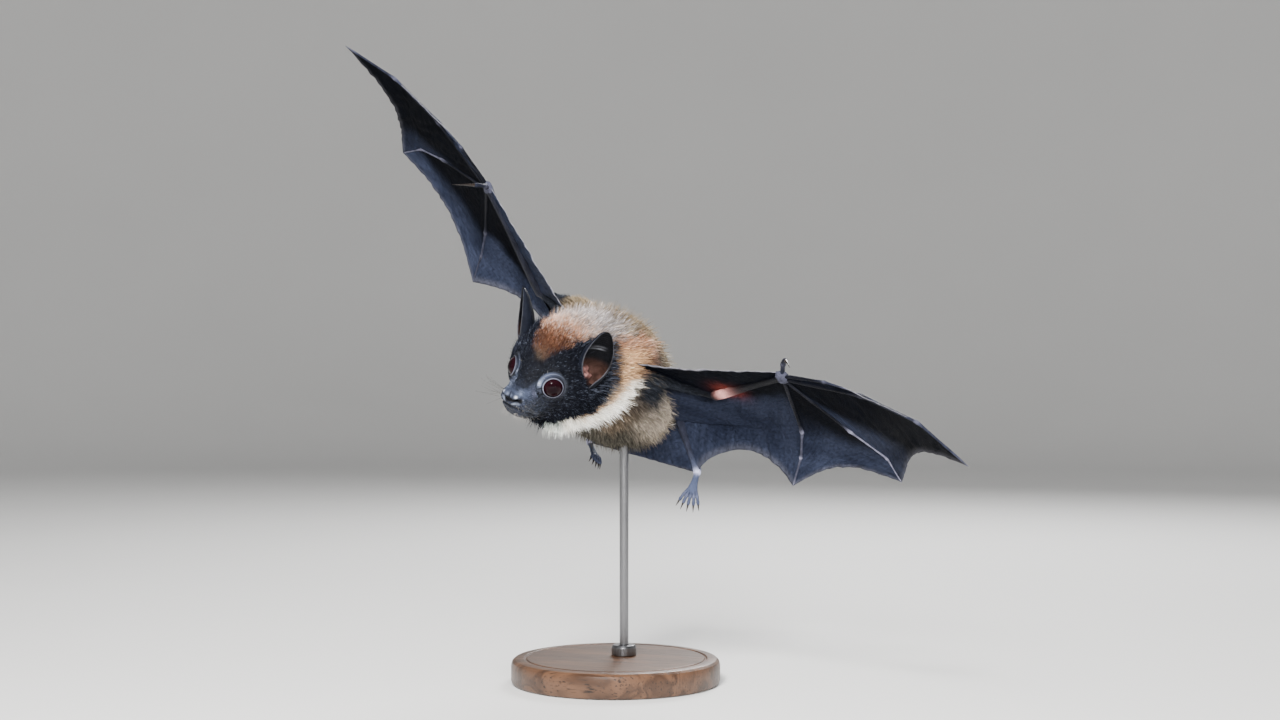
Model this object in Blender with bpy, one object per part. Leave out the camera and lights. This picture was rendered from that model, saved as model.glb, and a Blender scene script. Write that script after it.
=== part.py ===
"""A still, life-size flying fox bat in banking flight, on a plain display stand.

The bat is laid out in its trunk's frame: +X its left, +Y rearward, +Z its back, origin
in the middle of the trunk. The empty "pose" tilts that frame into the banking pose above
the stand, and "head_pose" under it bows the head. Lengths are in millimetres here and
become metres in new_object. Solids reach out to the tips of the coat.
"""
from math import cos, pi, radians, sin

import bmesh
import bpy
from mathutils import Matrix, Vector

MM = 0.001
GAP = 0.3                    # clearance between neighbouring solids
SIDES = {"left": 1, "right": -1}

# ---- pose
TRUNK_HEIGHT = 172.0         # the trunk's origin above the table
TRUNK_PITCH = -35.0          # nose end up
TRUNK_BANK = 26.0            # left wing down
HEAD_BEND = 62.0             # head bowed against the trunk
HEAD_YAW = 7.0
HEAD_PLACE = (-1.4, -49.6, -36.7)

# ---- outlines: back line (y, z), belly line (y, z), half width, from nose to rump
HEAD_STATIONS = (
    ((-30.0, -2.6), (-29.6, -6.8), 2.6),
    ((-28.6, 0.2), (-28.2, -10.6), 5.4),
    ((-25.4, 1.4), (-26.0, -15.4), 7.4),
    ((-21.0, 2.8), (-22.0, -19.0), 8.8),
    ((-16.5, 5.8), (-18.0, -21.6), 10.6),
    ((-12.0, 10.4), (-14.0, -23.4), 13.2),
    ((-7.5, 15.0), (-10.5, -24.8), 17.0),
    ((-2.5, 18.8), (-7.0, -26.2), 21.0),
    ((3.0, 21.8), (-4.0, -28.2), 23.8),
    ((9.0, 23.6), (-2.0, -31.0), 25.4),
    ((15.0, 23.8), (-0.5, -34.0), 26.4),
    ((20.5, 22.8), (0.5, -36.6), 27.0),
)
TRUNK_STATIONS = (
    ((-22.0, 24.4), (-12.0, -42.0), 31.6),
    ((-9.0, 27.4), (-2.0, -41.0), 33.0),
    ((6.0, 27.4), (9.0, -38.5), 32.6),
    ((20.0, 24.6), (20.0, -34.5), 30.6),
    ((33.0, 20.6), (31.0, -29.0), 27.0),
    ((43.0, 16.0), (40.0, -23.0), 22.0),
    ((50.0, 11.0), (47.0, -16.5), 16.0),
    ((54.6, 5.6), (52.4, -10.0), 9.6),
    ((56.6, 0.4), (56.0, -4.8), 3.6),
)
RING_SIDES = 24
RING_SQUARENESS = 0.92       # 1 is an ellipse, less is fuller at the sides
NECK_RINGS = 5               # rings across the neck
NECK_REACH = 0.75            # how strongly the neck carries on its neighbours' slopes
PARTING = 0.06               # of a neck cell, the thin cut at either end of the neck

# ---- wing bones, each a share of the forearm
FOREARM = 68.0
HUMERUS = 0.68 * FOREARM
DIGITS = {                   # metacarpal, first and second phalanx
    2: (0.40, 0.20),
    3: (0.69, 0.52, 0.52),
    4: (0.68, 0.42, 0.30),
    5: (0.72, 0.28, 0.28),
}
SHOULDER = Vector((21.0, -22.0, 3.0))
ARM_ROOT = {"left": Vector((19.0, -21.0, -3.0)), "right": Vector((19.0, -22.0, 12.5))}
DIGIT_ROOTS = {2: (3.7, -2.2), 3: (3.8, 0.9), 4: (2.6, 3.4), 5: (0.3, 4.2)}
WRIST_RADIUS = 2.7
UPPER_ARM_RADIUS = 4.4
FOREARM_RADIUS = 2.6
DIGIT_RADII = {2: 1.05, 3: 1.25, 4: 1.2, 5: 1.25}
UPPER_ARM_SHARES = (0.0, 0.25, 0.45, 0.7, 0.9, 1.0)
UPPER_ARM_TAPER = {          # furred shoulder down to the bare elbow
    "left": (1.5, 1.25, 1.05, 0.8, 0.66, 0.6),
    "right": (2.5, 2.3, 1.6, 1.0, 0.68, 0.6),
}
FOREARM_SHARES = (0.0, 0.12, 0.3, 0.6, 0.88)
FOREARM_TAPER = (0.8, 1.2, 1.25, 1.1, 0.8, 0.75, 0.9)   # elbow tip, the shares, wrist end
ELBOW_TIP = 1.5              # the elbow's point stands out past the joint
ELBOW_SPACE = 0.6            # between upper arm and forearm, beside the forearm's radius
WRIST_SPACE = 0.4            # between forearm and wrist, beside the gap
TIP_SHARE = 0.42             # radius at a fingertip against its root
KNUCKLE = 1.35               # swelling of a joint
RINGS_PER_BONE = 3

# ---- joint angles, degrees: the wing's set, then elbow and fingers
ARM_ANGLES = {
    "left": dict(dihedral=13, sweep=9, pitch=4, back=39, forward=30, drop=3),
    "right": dict(dihedral=24, sweep=27, pitch=-9, back=35, forward=32, drop=1),
}
HAND_ANGLES = {
    "left": dict(back=6, drop=6, twist=-5.5),
    "right": dict(back=-2, drop=6, twist=-6),
}
DIGIT_ANGLES = {             # spread of each bone, then its droop
    "left": {2: ((-11, -7), (0, 6)), 3: ((-5.7, -2.5, 7.8), (0, 11, 22)),
             4: ((47, 62.6, 78.1), (0, -9.7, 1.3)), 5: ((92.5, 99.5, 105), (0, 16, 31))},
    "right": {2: ((-11, -7), (0, 5)), 3: ((-5.3, -1.9, 8.8), (0, 7.6, 15.2)),
              4: ((36, 47, 60), (0, -1.9, 12.1)), 5: ((100, 107, 112.5), (0, 14, 28))},
}

# ---- thumb and claw, in the palm's frame
THUMB_TIPS = {"left": Vector((10.0, -19.0, -1.5)), "right": Vector((7.0, -13.0, -17.0))}
THUMB_RADIUS = 1.15
THUMB_TAPER = (1.1, 1.1, 1.1, 1.35, 1.05, 1.0, 0.95)
THUMB_SPACE = 0.9            # between thumb and wrist, beside the gap
HOOK_AIM = Vector((0.25, 0.1, -0.35)).normalized()
HOOK_DEPTH = 0.16            # of the thumb's length
HOOK_BELLY = 1.4             # the thumb bows back before it hooks
HOOK_SHARPNESS = 4
CLAW_SHARE = 0.34            # of the thumb's length
CLAW_WIDTHS = (0.92, 0.14)   # claw radius at root and tip against the thumb's
CLAW_TAPER = 1.2
THUMB_STEPS = 6

# ---- membranes
WEB = 0.7                    # membrane thickness
SCALLOP = {"arm": 0.18, "5_4": 0.22, "4_3": 0.20}
WEB_COLUMNS = 6
WEB_START = 0.5              # ring of the fingers where a hand web begins
NARROW_WEB = (0.6, 5.2)      # rings of the third finger that the narrow web spans
NARROW_RUN_OUT = 1.0         # it ends this many rings, and millimetres wide, further out
CAMBER = 5.0                 # billow of the arm membrane
ARM_WEB_ROWS = 9
WEB_CORNER = 5.8             # from the wrist to the arm web's corner
WEB_SPARE = 0.45             # added clearance where a web's straight cells pass a bend
FLANK_RINGS = (1, 2, 3, 4)   # trunk rings that the arm web grows from
FLANK_SPACE = 1.0
FRONT_ROOT = {"left": Vector((31.0, -30.0, -2.0)), "right": Vector((-30.0, -32.0, 6.0))}
FRONT_TIP = Vector((-2.6, -3.4, 0.0))        # beside the thumb, in the palm's frame
FRONT_HOLLOW = 0.12          # how far the front web's free edge is drawn in
FRONT_COLUMNS = 4

# ---- legs
HIP = Vector((13.0, 40.0, -4.0))
KNEES = {"left": Vector((25.0, 39.0, 9.0)), "right": Vector((-25.0, 41.0, 3.0))}
ANKLES = {"left": Vector((45.0, 60.0, -8.4)), "right": Vector((-30.5, 67.0, -19.0))}
TOES = {"left": Vector((54.5, 60.0, -32.5)), "right": Vector((-14.0, 66.5, -30.0))}
TOE_SPREAD = {"left": Vector((0.76, 0.28, 0.59)), "right": Vector((-0.3, 0.8, 0.5))}
THIGH_RADIUS = 5.0
SHIN_RADIUS = 2.1
KNEE_CAP = 2.0
KNEE_SPACE = 0.85            # of the thigh's radius, from the knee to the shin's start
ANKLE_SPACE = 1.2            # the shin runs on this far past the ankle
SHIN_SHARES = (0.25, 0.55, 0.85)
SHIN_TAPER = (1.3, 1.15, 0.85, 0.8, 1.15)
SOLE_START = 2.9             # from the ankle
SOLE_SHARE = 0.5             # of the foot's length, the rest is toes
SOLE_SECTIONS = (            # share of the sole, half breadth, half thickness
    (0.0, 1.7, 1.5), (0.4, 2.0, 1.3), (0.8, 3.0, 1.2), (1.0, 2.9, 1.0),
)
TOE_COUNT = 5
TOE_RADIUS = 0.95
TOE_SHARES = (0.0, 0.3, 0.6, 0.72, 0.86, 1.0)
TOE_TAPER = (1.1, 1.0, 1.1, 0.85, 0.6, 0.25)
TOE_ROOT_SPREAD = 2.2        # from the middle toe to the outer ones
TOE_ROOT_DEPTH = 1.6         # toes start this far inside the sole
TOE_FAN = 0.42
TOE_HOOK = 5.0               # how deep the claws hook, per length past the bend
TOE_BEND = 0.55
TAIL_SHARES = (0.12, 0.4, 0.7, 1.0)          # of the shin, where the tail membrane holds
RUMP_EDGE = (Vector((16.5, 51.5, -3.0)), Vector((10.5, 56.5, -3.5)), Vector((0.0, 59.2, -4.0)))
TAIL_MIDDLE = Vector((0.0, 60.0, -10.0))

# ---- head furniture, in the head's frame
MOUTH_FRONT = -8.8           # height of the mouth's line ahead of the lips
MOUTH_CORNER = (-17.0, -13.8)
CHIN_BACK = -9.0             # the parting of the jaw runs back to here under the chin
JAW_REACH = 34.0             # past the head on every side
EYE_RADIUS = 6.2
EYE_CENTRE = Vector((11.2, -8.4, 0.0))
EAR_ROOT = Vector((21.6, 9.0, 1.5))
EAR_TIP = Vector((28.5, 10.5, 33.0))
EAR_FACING = Vector((0.72, -0.69, 0.0))
EAR_SECTIONS = (             # share of height, half breadth, half gape in degrees
    (0.0, 6.6, 20), (0.18, 8.2, 40), (0.38, 8.6, 56), (0.58, 7.8, 67), (0.76, 6.0, 74),
    (0.9, 4.0, 80), (1.0, 2.3, 84),
)
EAR_COLUMNS = 10
EAR_DEPTH = 0.62
EAR_WALL = 0.8
NOSE_CENTRE = Vector((0.0, -28.4, -3.6))
NOSE_SIZE = (4.3, 3.2, 3.8)

# ---- stand
BASE_RADIUS = 58.0
BASE_HEIGHT = 14.0
BASE_BEVEL = 2.5
ROD_RADIUS = 2.5
COLLAR_RADIUS = 7.0
COLLAR_HEIGHT = 6.0
ROD_PLACE = Vector((2.0, 8.0, 0.0))
ROD_DEPTH = 8.0              # into the base
ROD_TOP = 144.0              # inside the belly

COLOURS = {                  # base colour, roughness, metallic
    "skin": ((0.030, 0.033, 0.045), 0.6, 0.0),
    "web": ((0.022, 0.025, 0.036), 0.55, 0.0),
    "mask": ((0.016, 0.018, 0.024), 0.7, 0.0),
    "muzzle": ((0.12, 0.12, 0.16), 0.5, 0.0),
    "collar": ((0.60, 0.52, 0.36), 0.9, 0.0),
    "fur": ((0.20, 0.16, 0.11), 0.9, 0.0),
    "eye": ((0.020, 0.006, 0.008), 0.06, 0.0),
    "claw": ((0.03, 0.026, 0.024), 0.35, 0.0),
    "wood": ((0.09, 0.05, 0.03), 0.4, 0.0),
    "steel": ((0.60, 0.60, 0.62), 0.3, 1.0),
}


# ---- building blocks

def material(name):
    """The Principled material of that colour, made once."""
    found = bpy.data.materials.get(name)
    if found:
        return found
    made = bpy.data.materials.new(name)
    made.use_nodes = True
    shader = made.node_tree.nodes["Principled BSDF"]
    colour, roughness, metallic = COLOURS[name]
    shader.inputs["Base Color"].default_value = (*colour, 1.0)
    shader.inputs["Roughness"].default_value = roughness
    shader.inputs["Metallic"].default_value = metallic
    return made


def new_object(name, points, faces, colour, parent=None):
    """A smooth-shaded object from points in millimetres, under parent."""
    mesh = bpy.data.meshes.new(name)
    mesh.from_pydata([Vector(point) * MM for point in points], [], faces)
    work = bmesh.new()
    work.from_mesh(mesh)
    bmesh.ops.recalc_face_normals(work, faces=work.faces)
    work.to_mesh(mesh)
    work.free()
    mesh.shade_smooth()
    mesh.set_sharp_from_angle(angle=radians(40))
    mesh.materials.append(material(colour))
    made = bpy.data.objects.new(name, mesh)
    made.parent = parent
    bpy.context.scene.collection.objects.link(made)
    return made


def new_empty(name, place, parent=None):
    """An empty that carries a frame; place is a matrix in millimetres."""
    made = bpy.data.objects.new(name, None)
    bpy.context.scene.collection.objects.link(made)
    made.parent = parent
    in_metres = place.copy()
    in_metres.translation *= MM
    made.matrix_local = in_metres
    return made


def thicken(sheet, wall):
    """Gives an open sheet an even wall about its middle."""
    step = sheet.modifiers.new("thickness", "SOLIDIFY")
    step.thickness = wall * MM
    step.offset = 0.0
    return sheet


def cut(target, cutter, operation="DIFFERENCE"):
    """A live exact boolean of target with a hidden cutter."""
    cutter.hide_render = True
    cutter.display_type = "WIRE"
    step = target.modifiers.new(cutter.name, "BOOLEAN")
    step.operation = operation
    step.object = cutter


def loft(rings):
    """Points and faces of a closed skin over rings of equal length."""
    count = len(rings[0])
    points = [point for ring in rings for point in ring]
    faces = []
    for row in range(len(rings) - 1):
        for i in range(count):
            j = (i + 1) % count
            low, high = row * count, (row + 1) * count
            faces.append((low + i, low + j, high + j, high + i))
    for first, ring in ((0, rings[0]), ((len(rings) - 1) * count, rings[-1])):
        middle = sum((Vector(point) for point in ring), Vector()) / count
        points.append(middle)
        for i in range(count):
            faces.append((first + i, first + (i + 1) % count, len(points) - 1))
    return points, faces


def grid(rows):
    """Points and faces of an open sheet over rows of equal length."""
    columns = len(rows[0])
    points = [point for row in rows for point in row]
    faces = []
    for r in range(len(rows) - 1):
        for c in range(columns - 1):
            first = r * columns + c
            faces.append((first, first + 1, first + columns + 1, first + columns))
    return points, faces


def circle(centre, across, other, sides):
    """A ring of points about centre; across and other are its half axes."""
    angles = [2 * pi * k / sides for k in range(sides)]
    return [centre + across * cos(angle) + other * sin(angle) for angle in angles]


def tube(route, radii, sides=10):
    """Rings of a round bone along a route, kept from twisting."""
    rings = []
    across = None
    for i, point in enumerate(route):
        before = route[max(i - 1, 0)]
        after = route[min(i + 1, len(route) - 1)]
        along = (after - before).normalized()
        if across is None:
            across = along.orthogonal()
        across = (across - along * across.dot(along)).normalized()
        rings.append(circle(point, across * radii[i], along.cross(across) * radii[i], sides))
    return rings


def ball(name, centre, size, colour, parent, segments=16, rings=10):
    """An ellipsoid about centre."""
    middle = Vector(centre)
    bands = []
    for i in range(1, rings):
        polar = pi * i / rings
        level = middle + Vector((0, 0, size[2] * cos(polar)))
        bands.append(circle(level, Vector((size[0] * sin(polar), 0, 0)),
                            Vector((0, size[1] * sin(polar), 0)), segments))
    points, faces = loft(bands)
    points[-2] = middle + Vector((0, 0, size[2]))
    points[-1] = middle - Vector((0, 0, size[2]))
    return new_object(name, points, faces, colour, parent)


def turn(axis, degrees):
    return Matrix.Rotation(radians(degrees), 3, axis)


def mirrored(point, side):
    """A point given for the left side, on that side."""
    return Vector((point.x * SIDES[side], point.y, point.z))


# ---- outline of the body, one loft from nose to rump

def section(station, grow=0.0):
    """One oval ring between a back point and a belly point."""
    (top_y, top_z), (low_y, low_z), width = station
    top = Vector((0, top_y, top_z))
    low = Vector((0, low_y, low_z))
    rise = (top - low) / 2
    rise = rise * (1 + grow / rise.length)
    ring = []
    for k in range(RING_SIDES):
        angle = 2 * pi * k / RING_SIDES
        sideways = (width + grow) * abs(cos(angle)) ** RING_SQUARENESS
        ring.append((top + low) / 2 + rise * sin(angle)
                    + Vector((sideways if cos(angle) > 0 else -sideways, 0, 0)))
    return ring


def head_matrix():
    """Head frame to trunk frame."""
    turned = turn("Z", HEAD_YAW) @ turn("X", HEAD_BEND)
    return Matrix.Translation(Vector(HEAD_PLACE)) @ turned.to_4x4()


def head_rings(grow=0.0):
    """The head's outline in the trunk's frame."""
    place = head_matrix()
    return [[place @ point for point in section(station, grow)] for station in HEAD_STATIONS]


def trunk_rings(grow=0.0):
    return [section(station, grow) for station in TRUNK_STATIONS]


def neck_rings(grow=0.0):
    """Rings that carry the head's outline over into the trunk's."""
    before, start = head_rings(grow)[-2:]
    end, after = trunk_rings(grow)[:2]
    rings = []
    for row in range(NECK_RINGS + 1):
        share = row / NECK_RINGS
        from_start = 2 * share ** 3 - 3 * share ** 2 + 1
        from_leave = share ** 3 - 2 * share ** 2 + share
        from_arrive = share ** 3 - share ** 2
        ring = []
        for i in range(RING_SIDES):
            leave = (start[i] - before[i]).normalized()
            arrive = (after[i] - end[i]).normalized()
            reach = (end[i] - start[i]).length * NECK_REACH
            ring.append(start[i] * from_start + end[i] * (1 - from_start)
                        + leave * reach * from_leave + arrive * reach * from_arrive)
        rings.append(ring)
    return rings


# ---- lines that the wing's pieces share

def wing_joints(side):
    """Joint positions of one wing in the trunk's frame, laid out as a left wing."""
    arm = ARM_ANGLES[side]
    hand = HAND_ANGLES[side]
    frame = turn("Y", -arm["dihedral"]) @ turn("Z", -arm["sweep"]) @ turn("X", arm["pitch"])
    outward = Vector((1, 0, 0))
    elbow = SHOULDER + frame @ turn("Z", arm["back"]) @ outward * HUMERUS
    forearm = frame @ turn("Z", -arm["forward"]) @ turn("Y", arm["drop"]) @ outward
    wrist = elbow + forearm * FOREARM
    palm = frame @ turn("Z", hand["back"]) @ turn("Y", hand["drop"]) @ turn("X", hand["twist"])
    joints = {"shoulder": SHOULDER.copy(), "elbow": elbow, "wrist": wrist, "palm": palm}
    for digit, shares in DIGITS.items():
        root_x, root_y = DIGIT_ROOTS[digit]
        points = [wrist + palm @ Vector((root_x, root_y, 0))]
        spread, droop = DIGIT_ANGLES[side][digit]
        lengths = [share * FOREARM for share in shares]
        lengths[0] -= DIGIT_ROOTS[3][0]
        for length, aside, down in zip(lengths, spread, droop):
            along = palm @ turn("Z", aside) @ turn("Y", down) @ outward
            points.append(points[-1] + along * length)
        joints[digit] = points
    return joints


def finger_line(joints, radius):
    """Route and radii along a finger, slim between swollen joints."""
    route, radii = [], []
    bones = len(joints) - 1
    for bone in range(bones):
        for step in range(RINGS_PER_BONE + (bone == bones - 1)):
            share = step / RINGS_PER_BONE
            slim = radius * (1 - (1 - TIP_SHARE) * (bone + share) / bones)
            swell = 1 + (KNUCKLE - 1) * max(0.0, 1 - 4 * share, 4 * share - 3)
            if (bone == 0 and share < 0.5) or (bone == bones - 1 and share > 0.5):
                swell = 1.0
            route.append(joints[bone].lerp(joints[bone + 1], share))
            radii.append(slim * swell)
    return route, radii


def upper_arm_line(side, joints):
    """Route and radii from inside the shoulder's fur to just short of the elbow."""
    arm_line = (joints["elbow"] - joints["shoulder"]).normalized()
    end = joints["elbow"] - arm_line * (FOREARM_RADIUS + ELBOW_SPACE)
    route = [ARM_ROOT[side].lerp(end, share) for share in UPPER_ARM_SHARES]
    return route, [UPPER_ARM_RADIUS * size for size in UPPER_ARM_TAPER[side]]


def forearm_line(joints):
    """Route and radii from the elbow's point to the wrist."""
    elbow, wrist = joints["elbow"], joints["wrist"]
    line = (wrist - elbow).normalized()
    route = [elbow - line * ELBOW_TIP]
    route += [elbow.lerp(wrist, share) for share in FOREARM_SHARES]
    route.append(wrist - line * (WRIST_RADIUS + GAP + WRIST_SPACE))
    return route, [FOREARM_RADIUS * size for size in FOREARM_TAPER]


def offset_line(route, radii, towards, spare=0.0):
    """The line beside a bone that a membrane starts from, on the side of towards."""
    line = []
    for i, point in enumerate(route):
        along = (route[min(i + 1, len(route) - 1)] - route[max(i - 1, 0)]).normalized()
        aside = towards[i] - point
        aside = (aside - along * aside.dot(along)).normalized()
        line.append(point + aside * (radii[i] + GAP + spare))
    return line


def station_on(line, at):
    """The point of a line at a place counted in its own points."""
    low = min(int(at), len(line) - 2)
    return line[low].lerp(line[low + 1], at - low)


def along_line(line, share):
    """The point at that share of a line's length."""
    steps = [(b - a).length for a, b in zip(line, line[1:])]
    left_over = share * sum(steps)
    for a, b, step in zip(line, line[1:], steps):
        if left_over <= step:
            return a.lerp(b, left_over / step)
        left_over -= step
    return line[-1].copy()


def bone(name, side, line, colour="skin", sides=10):
    route, radii = line
    rings = tube([mirrored(point, side) for point in route], radii, sides)
    return new_object(name, *loft(rings), colour, pose)


def membrane(name, side, rows):
    """A thin solid sheet over rows of points laid out as a left wing."""
    there = [[mirrored(point, side) for point in row] for row in rows]
    return thicken(new_object(name, *grid(there), "web", pose), WEB)


# ---- head, neck and trunk

def body():
    """Head, neck and trunk, one outline parted by thin cuts, and its clearance."""
    made_head = new_object("head", *loft(head_rings()), "mask", pose)
    outline = neck_rings()
    for end, inner in ((0, 1), (-1, -2)):
        outline[end] = [a.lerp(b, PARTING) for a, b in zip(outline[end], outline[inner])]
    new_object("neck", *loft(outline), "collar", pose)
    made_trunk = new_object("trunk", *loft(trunk_rings()), "fur", pose)
    wider = head_rings(GAP) + neck_rings(GAP)[1:-1] + trunk_rings(GAP)
    clearance = new_object("body_clearance", *loft(wider), "fur", pose)
    return made_head, made_trunk, clearance


def eye(side):
    """An eyeball, and its socket in the head."""
    centre = mirrored(EYE_CENTRE, side)
    ball(f"eye_{side}", centre, (EYE_RADIUS,) * 3, "eye", head_pose)
    cut(head, ball(f"socket_{side}", centre, (EYE_RADIUS + GAP,) * 3, "mask", head_pose))


def nose():
    """The bare pad let into the muzzle."""
    ball("nose", NOSE_CENTRE, NOSE_SIZE, "muzzle", head_pose, 12, 8)
    wider = [size + GAP for size in NOSE_SIZE]
    cut(head, ball("nose_bed", NOSE_CENTRE, wider, "muzzle", head_pose, 12, 8))


def ear(side):
    """A cupped leaf of even thickness, gaping forward and outward."""
    up = (EAR_TIP - EAR_ROOT).normalized()
    facing = (EAR_FACING - up * EAR_FACING.dot(up)).normalized()
    aside = up.cross(facing)
    rows = []
    for share, breadth, gape in EAR_SECTIONS:
        middle = EAR_ROOT.lerp(EAR_TIP, share)
        row = []
        for step in range(EAR_COLUMNS):
            angle = radians(gape + (360 - 2 * gape) * step / (EAR_COLUMNS - 1))
            row.append(mirrored(middle + facing * (cos(angle) * breadth * EAR_DEPTH)
                                + aside * (sin(angle) * breadth), side))
        rows.append(row)
    shell = new_object(f"ear_{side}", *grid(rows), "skin", head_pose)
    thicken(shell, EAR_WALL)
    cut(shell, body_clearance)


def jaw_block(name, grow):
    """The block below the line of the mouth."""
    corner_y, corner_z = MOUTH_CORNER
    outline = ((-JAW_REACH, MOUTH_FRONT + grow), (corner_y + grow, corner_z + grow),
               (CHIN_BACK + grow, -JAW_REACH), (-JAW_REACH, -JAW_REACH))
    points = [(x, y, z) for x in (-JAW_REACH, JAW_REACH) for y, z in outline]
    faces = [(0, 1, 2, 3), (4, 5, 6, 7)]
    faces += [(i, (i + 1) % 4, (i + 1) % 4 + 4, i + 4) for i in range(4)]
    return new_object(name, points, faces, "mask", head_pose)


def lower_jaw():
    """The jaw, parted from the head along the mouth."""
    jaw = new_object("lower_jaw", *loft(head_rings()), "mask", pose)
    cut(jaw, jaw_block("jaw_block", 0.0), "INTERSECT")
    cut(head, jaw_block("jaw_clearance", GAP))


# ---- wings

def arm(side, joints):
    """Upper arm, forearm and the knob of the wrist."""
    upper = bone(f"upper_arm_{side}", side, upper_arm_line(side, joints))
    cut(upper, body_clearance)
    bone(f"forearm_{side}", side, forearm_line(joints))
    ball(f"wrist_{side}", mirrored(joints["wrist"], side), (WRIST_RADIUS,) * 3, "skin", pose, 12, 7)


def thumb(side, joints):
    """The thumb and its hooked claw, on one curve from the wrist."""
    tip = THUMB_TIPS[side]
    hook = HOOK_AIM * tip.length * HOOK_DEPTH
    base = tip.normalized() * (WRIST_RADIUS + GAP + THUMB_SPACE)

    def point(share):
        straight = base.lerp(tip, share)
        bent = hook * (share ** HOOK_SHARPNESS - HOOK_BELLY * sin(pi * share))
        return joints["wrist"] + joints["palm"] @ (straight + bent)

    steps = [i / THUMB_STEPS for i in range(THUMB_STEPS + 1)]
    claw_root = 1 - CLAW_SHARE
    radii = [THUMB_RADIUS * size for size in THUMB_TAPER]
    bone(f"thumb_{side}", side, ([point(claw_root * step) for step in steps], radii), sides=6)
    claw_root += GAP / tip.length
    at_root, at_tip = CLAW_WIDTHS
    radii = [THUMB_RADIUS * (at_root + (at_tip - at_root) * step ** CLAW_TAPER) for step in steps]
    route = [point(claw_root + (1 - claw_root) * step) for step in steps]
    bone(f"thumb_claw_{side}", side, (route, radii), "claw", 6)


def hand_web(name, side, rear, front, scallop):
    """The web between two long fingers, hollowed at its trailing edge."""
    rear_route, rear_radii = rear
    front_route, front_radii = front
    rear_edge = offset_line(rear_route, rear_radii, front_route, WEB_SPARE)
    front_edge = offset_line(front_route, front_radii, rear_route, WEB_SPARE)
    last = len(rear_route) - 1
    rows = []
    for i in range(last + 1):
        row = []
        for c in range(WEB_COLUMNS):
            share = c / (WEB_COLUMNS - 1)
            hollow = 1 - scallop * 4 * share * (1 - share)
            at = WEB_START + (last - WEB_START) * i / last * hollow
            row.append(station_on(rear_edge, at).lerp(station_on(front_edge, at), share))
        rows.append(row)
    membrane(f"{name}_{side}", side, rows)


def narrow_web(side, second, third):
    """The strip between the second and third fingers, running out along the third."""
    route_2, radii_2 = second
    route_3, radii_3 = third
    first, last = NARROW_WEB
    steps = len(route_2) - 1
    per_step = (last - first) / steps
    beside_2 = [station_on(route_3, first + per_step * i) for i in range(steps + 1)]
    beside_3 = [station_on(route_2, min(max((i - first) / per_step, 0.0), float(steps)))
                for i in range(len(route_3))]
    edge_2 = offset_line(route_2, radii_2, beside_2)
    edge_3 = offset_line(route_3, radii_3, beside_3)
    rows = []
    for i in range(1, steps + 1):
        near = station_on(edge_3, first + per_step * i)
        rows.append([near, near.lerp(edge_2[i], 0.5), edge_2[i]])
    near = station_on(edge_3, last + NARROW_RUN_OUT)
    brim = near + (edge_2[-1] - near).normalized() * NARROW_RUN_OUT
    rows.append([near, near.lerp(brim, 0.5), brim])
    membrane(f"web_3_2_{side}", side, rows)


def arm_web(side, joints, fifth):
    """The large web behind the arm: a patch between flank, arm, fifth finger and leg."""
    knee, ankle = mirrored(KNEES[side], side), mirrored(ANKLES[side], side)
    wrist = joints["wrist"]
    upper_route, upper_radii = upper_arm_line(side, joints)
    fore_route, fore_radii = forearm_line(joints)
    arm_route = upper_route[2:] + fore_route[1:]
    arm_radii = upper_radii[2:] + fore_radii[1:]
    finger_route, finger_radii = fifth
    tip = finger_route[-1]
    inward = (joints["elbow"] - wrist).normalized()
    rearward = (finger_route[1] - wrist).normalized()
    corner = wrist + (inward + rearward).normalized() * WEB_CORNER
    lead = offset_line(arm_route, arm_radii, [tip] * len(arm_route), WEB_SPARE)[:-1] + [corner]
    outer = [corner] + offset_line(finger_route, finger_radii, [ankle] * len(finger_route),
                                   WEB_SPARE)[1:]
    flank = [trunk_rings(GAP)[ring][1] + Vector((FLANK_SPACE, 0, 0)) for ring in FLANK_RINGS]
    leg = offset_line([knee, knee.lerp(ankle, 0.5), ankle],
                      [SHIN_RADIUS * size for size in (1.3, 1.0, 1.2)], [tip] * 3)
    inner = [lead[0]] + flank + leg

    lengths = [(b - a).length for a, b in zip(lead, lead[1:])]
    shares = [sum(lengths[:i]) / sum(lengths) for i in range(len(lead))]
    rows = []
    for r in range(ARM_WEB_ROWS + 1):
        row = []
        for u in shares:
            v = r / ARM_WEB_ROWS * (1 - SCALLOP["arm"] * 4 * u * (1 - u))
            trail = leg[-1].lerp(outer[-1], u)
            edges = (along_line(lead, u) * (1 - v) + trail * v
                     + along_line(inner, v) * (1 - u) + along_line(outer, v) * u)
            corners = lead[0].lerp(corner, u) * (1 - v) + trail * v
            billow = Vector((0, 0, CAMBER * 16 * u * (1 - u) * v * (1 - v)))
            row.append(edges - corners + billow)
        rows.append(row)
    membrane(f"arm_web_{side}", side, rows)


def front_web(side, joints):
    """The narrow web ahead of the arm, from the shoulder to the thumb."""
    root = mirrored(FRONT_ROOT[side], side)
    tip = joints["wrist"] + joints["palm"] @ FRONT_TIP
    upper_route, upper_radii = upper_arm_line(side, joints)
    fore_route, fore_radii = forearm_line(joints)
    arm_route = upper_route[2:] + fore_route[1:-1]
    arm_radii = upper_radii[2:] + fore_radii[1:-1]
    last = len(arm_route) - 1
    straight = [root.lerp(tip, i / last) for i in range(last + 1)]
    edge = offset_line(arm_route, arm_radii, straight, 2 * WEB_SPARE)
    rows = []
    for i, near in enumerate(edge):
        share = i / last
        free = straight[i].lerp(near, FRONT_HOLLOW * 4 * share * (1 - share))
        rows.append([near.lerp(free, c / (FRONT_COLUMNS - 1)) for c in range(FRONT_COLUMNS)])
    membrane(f"front_web_{side}", side, rows)


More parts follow.
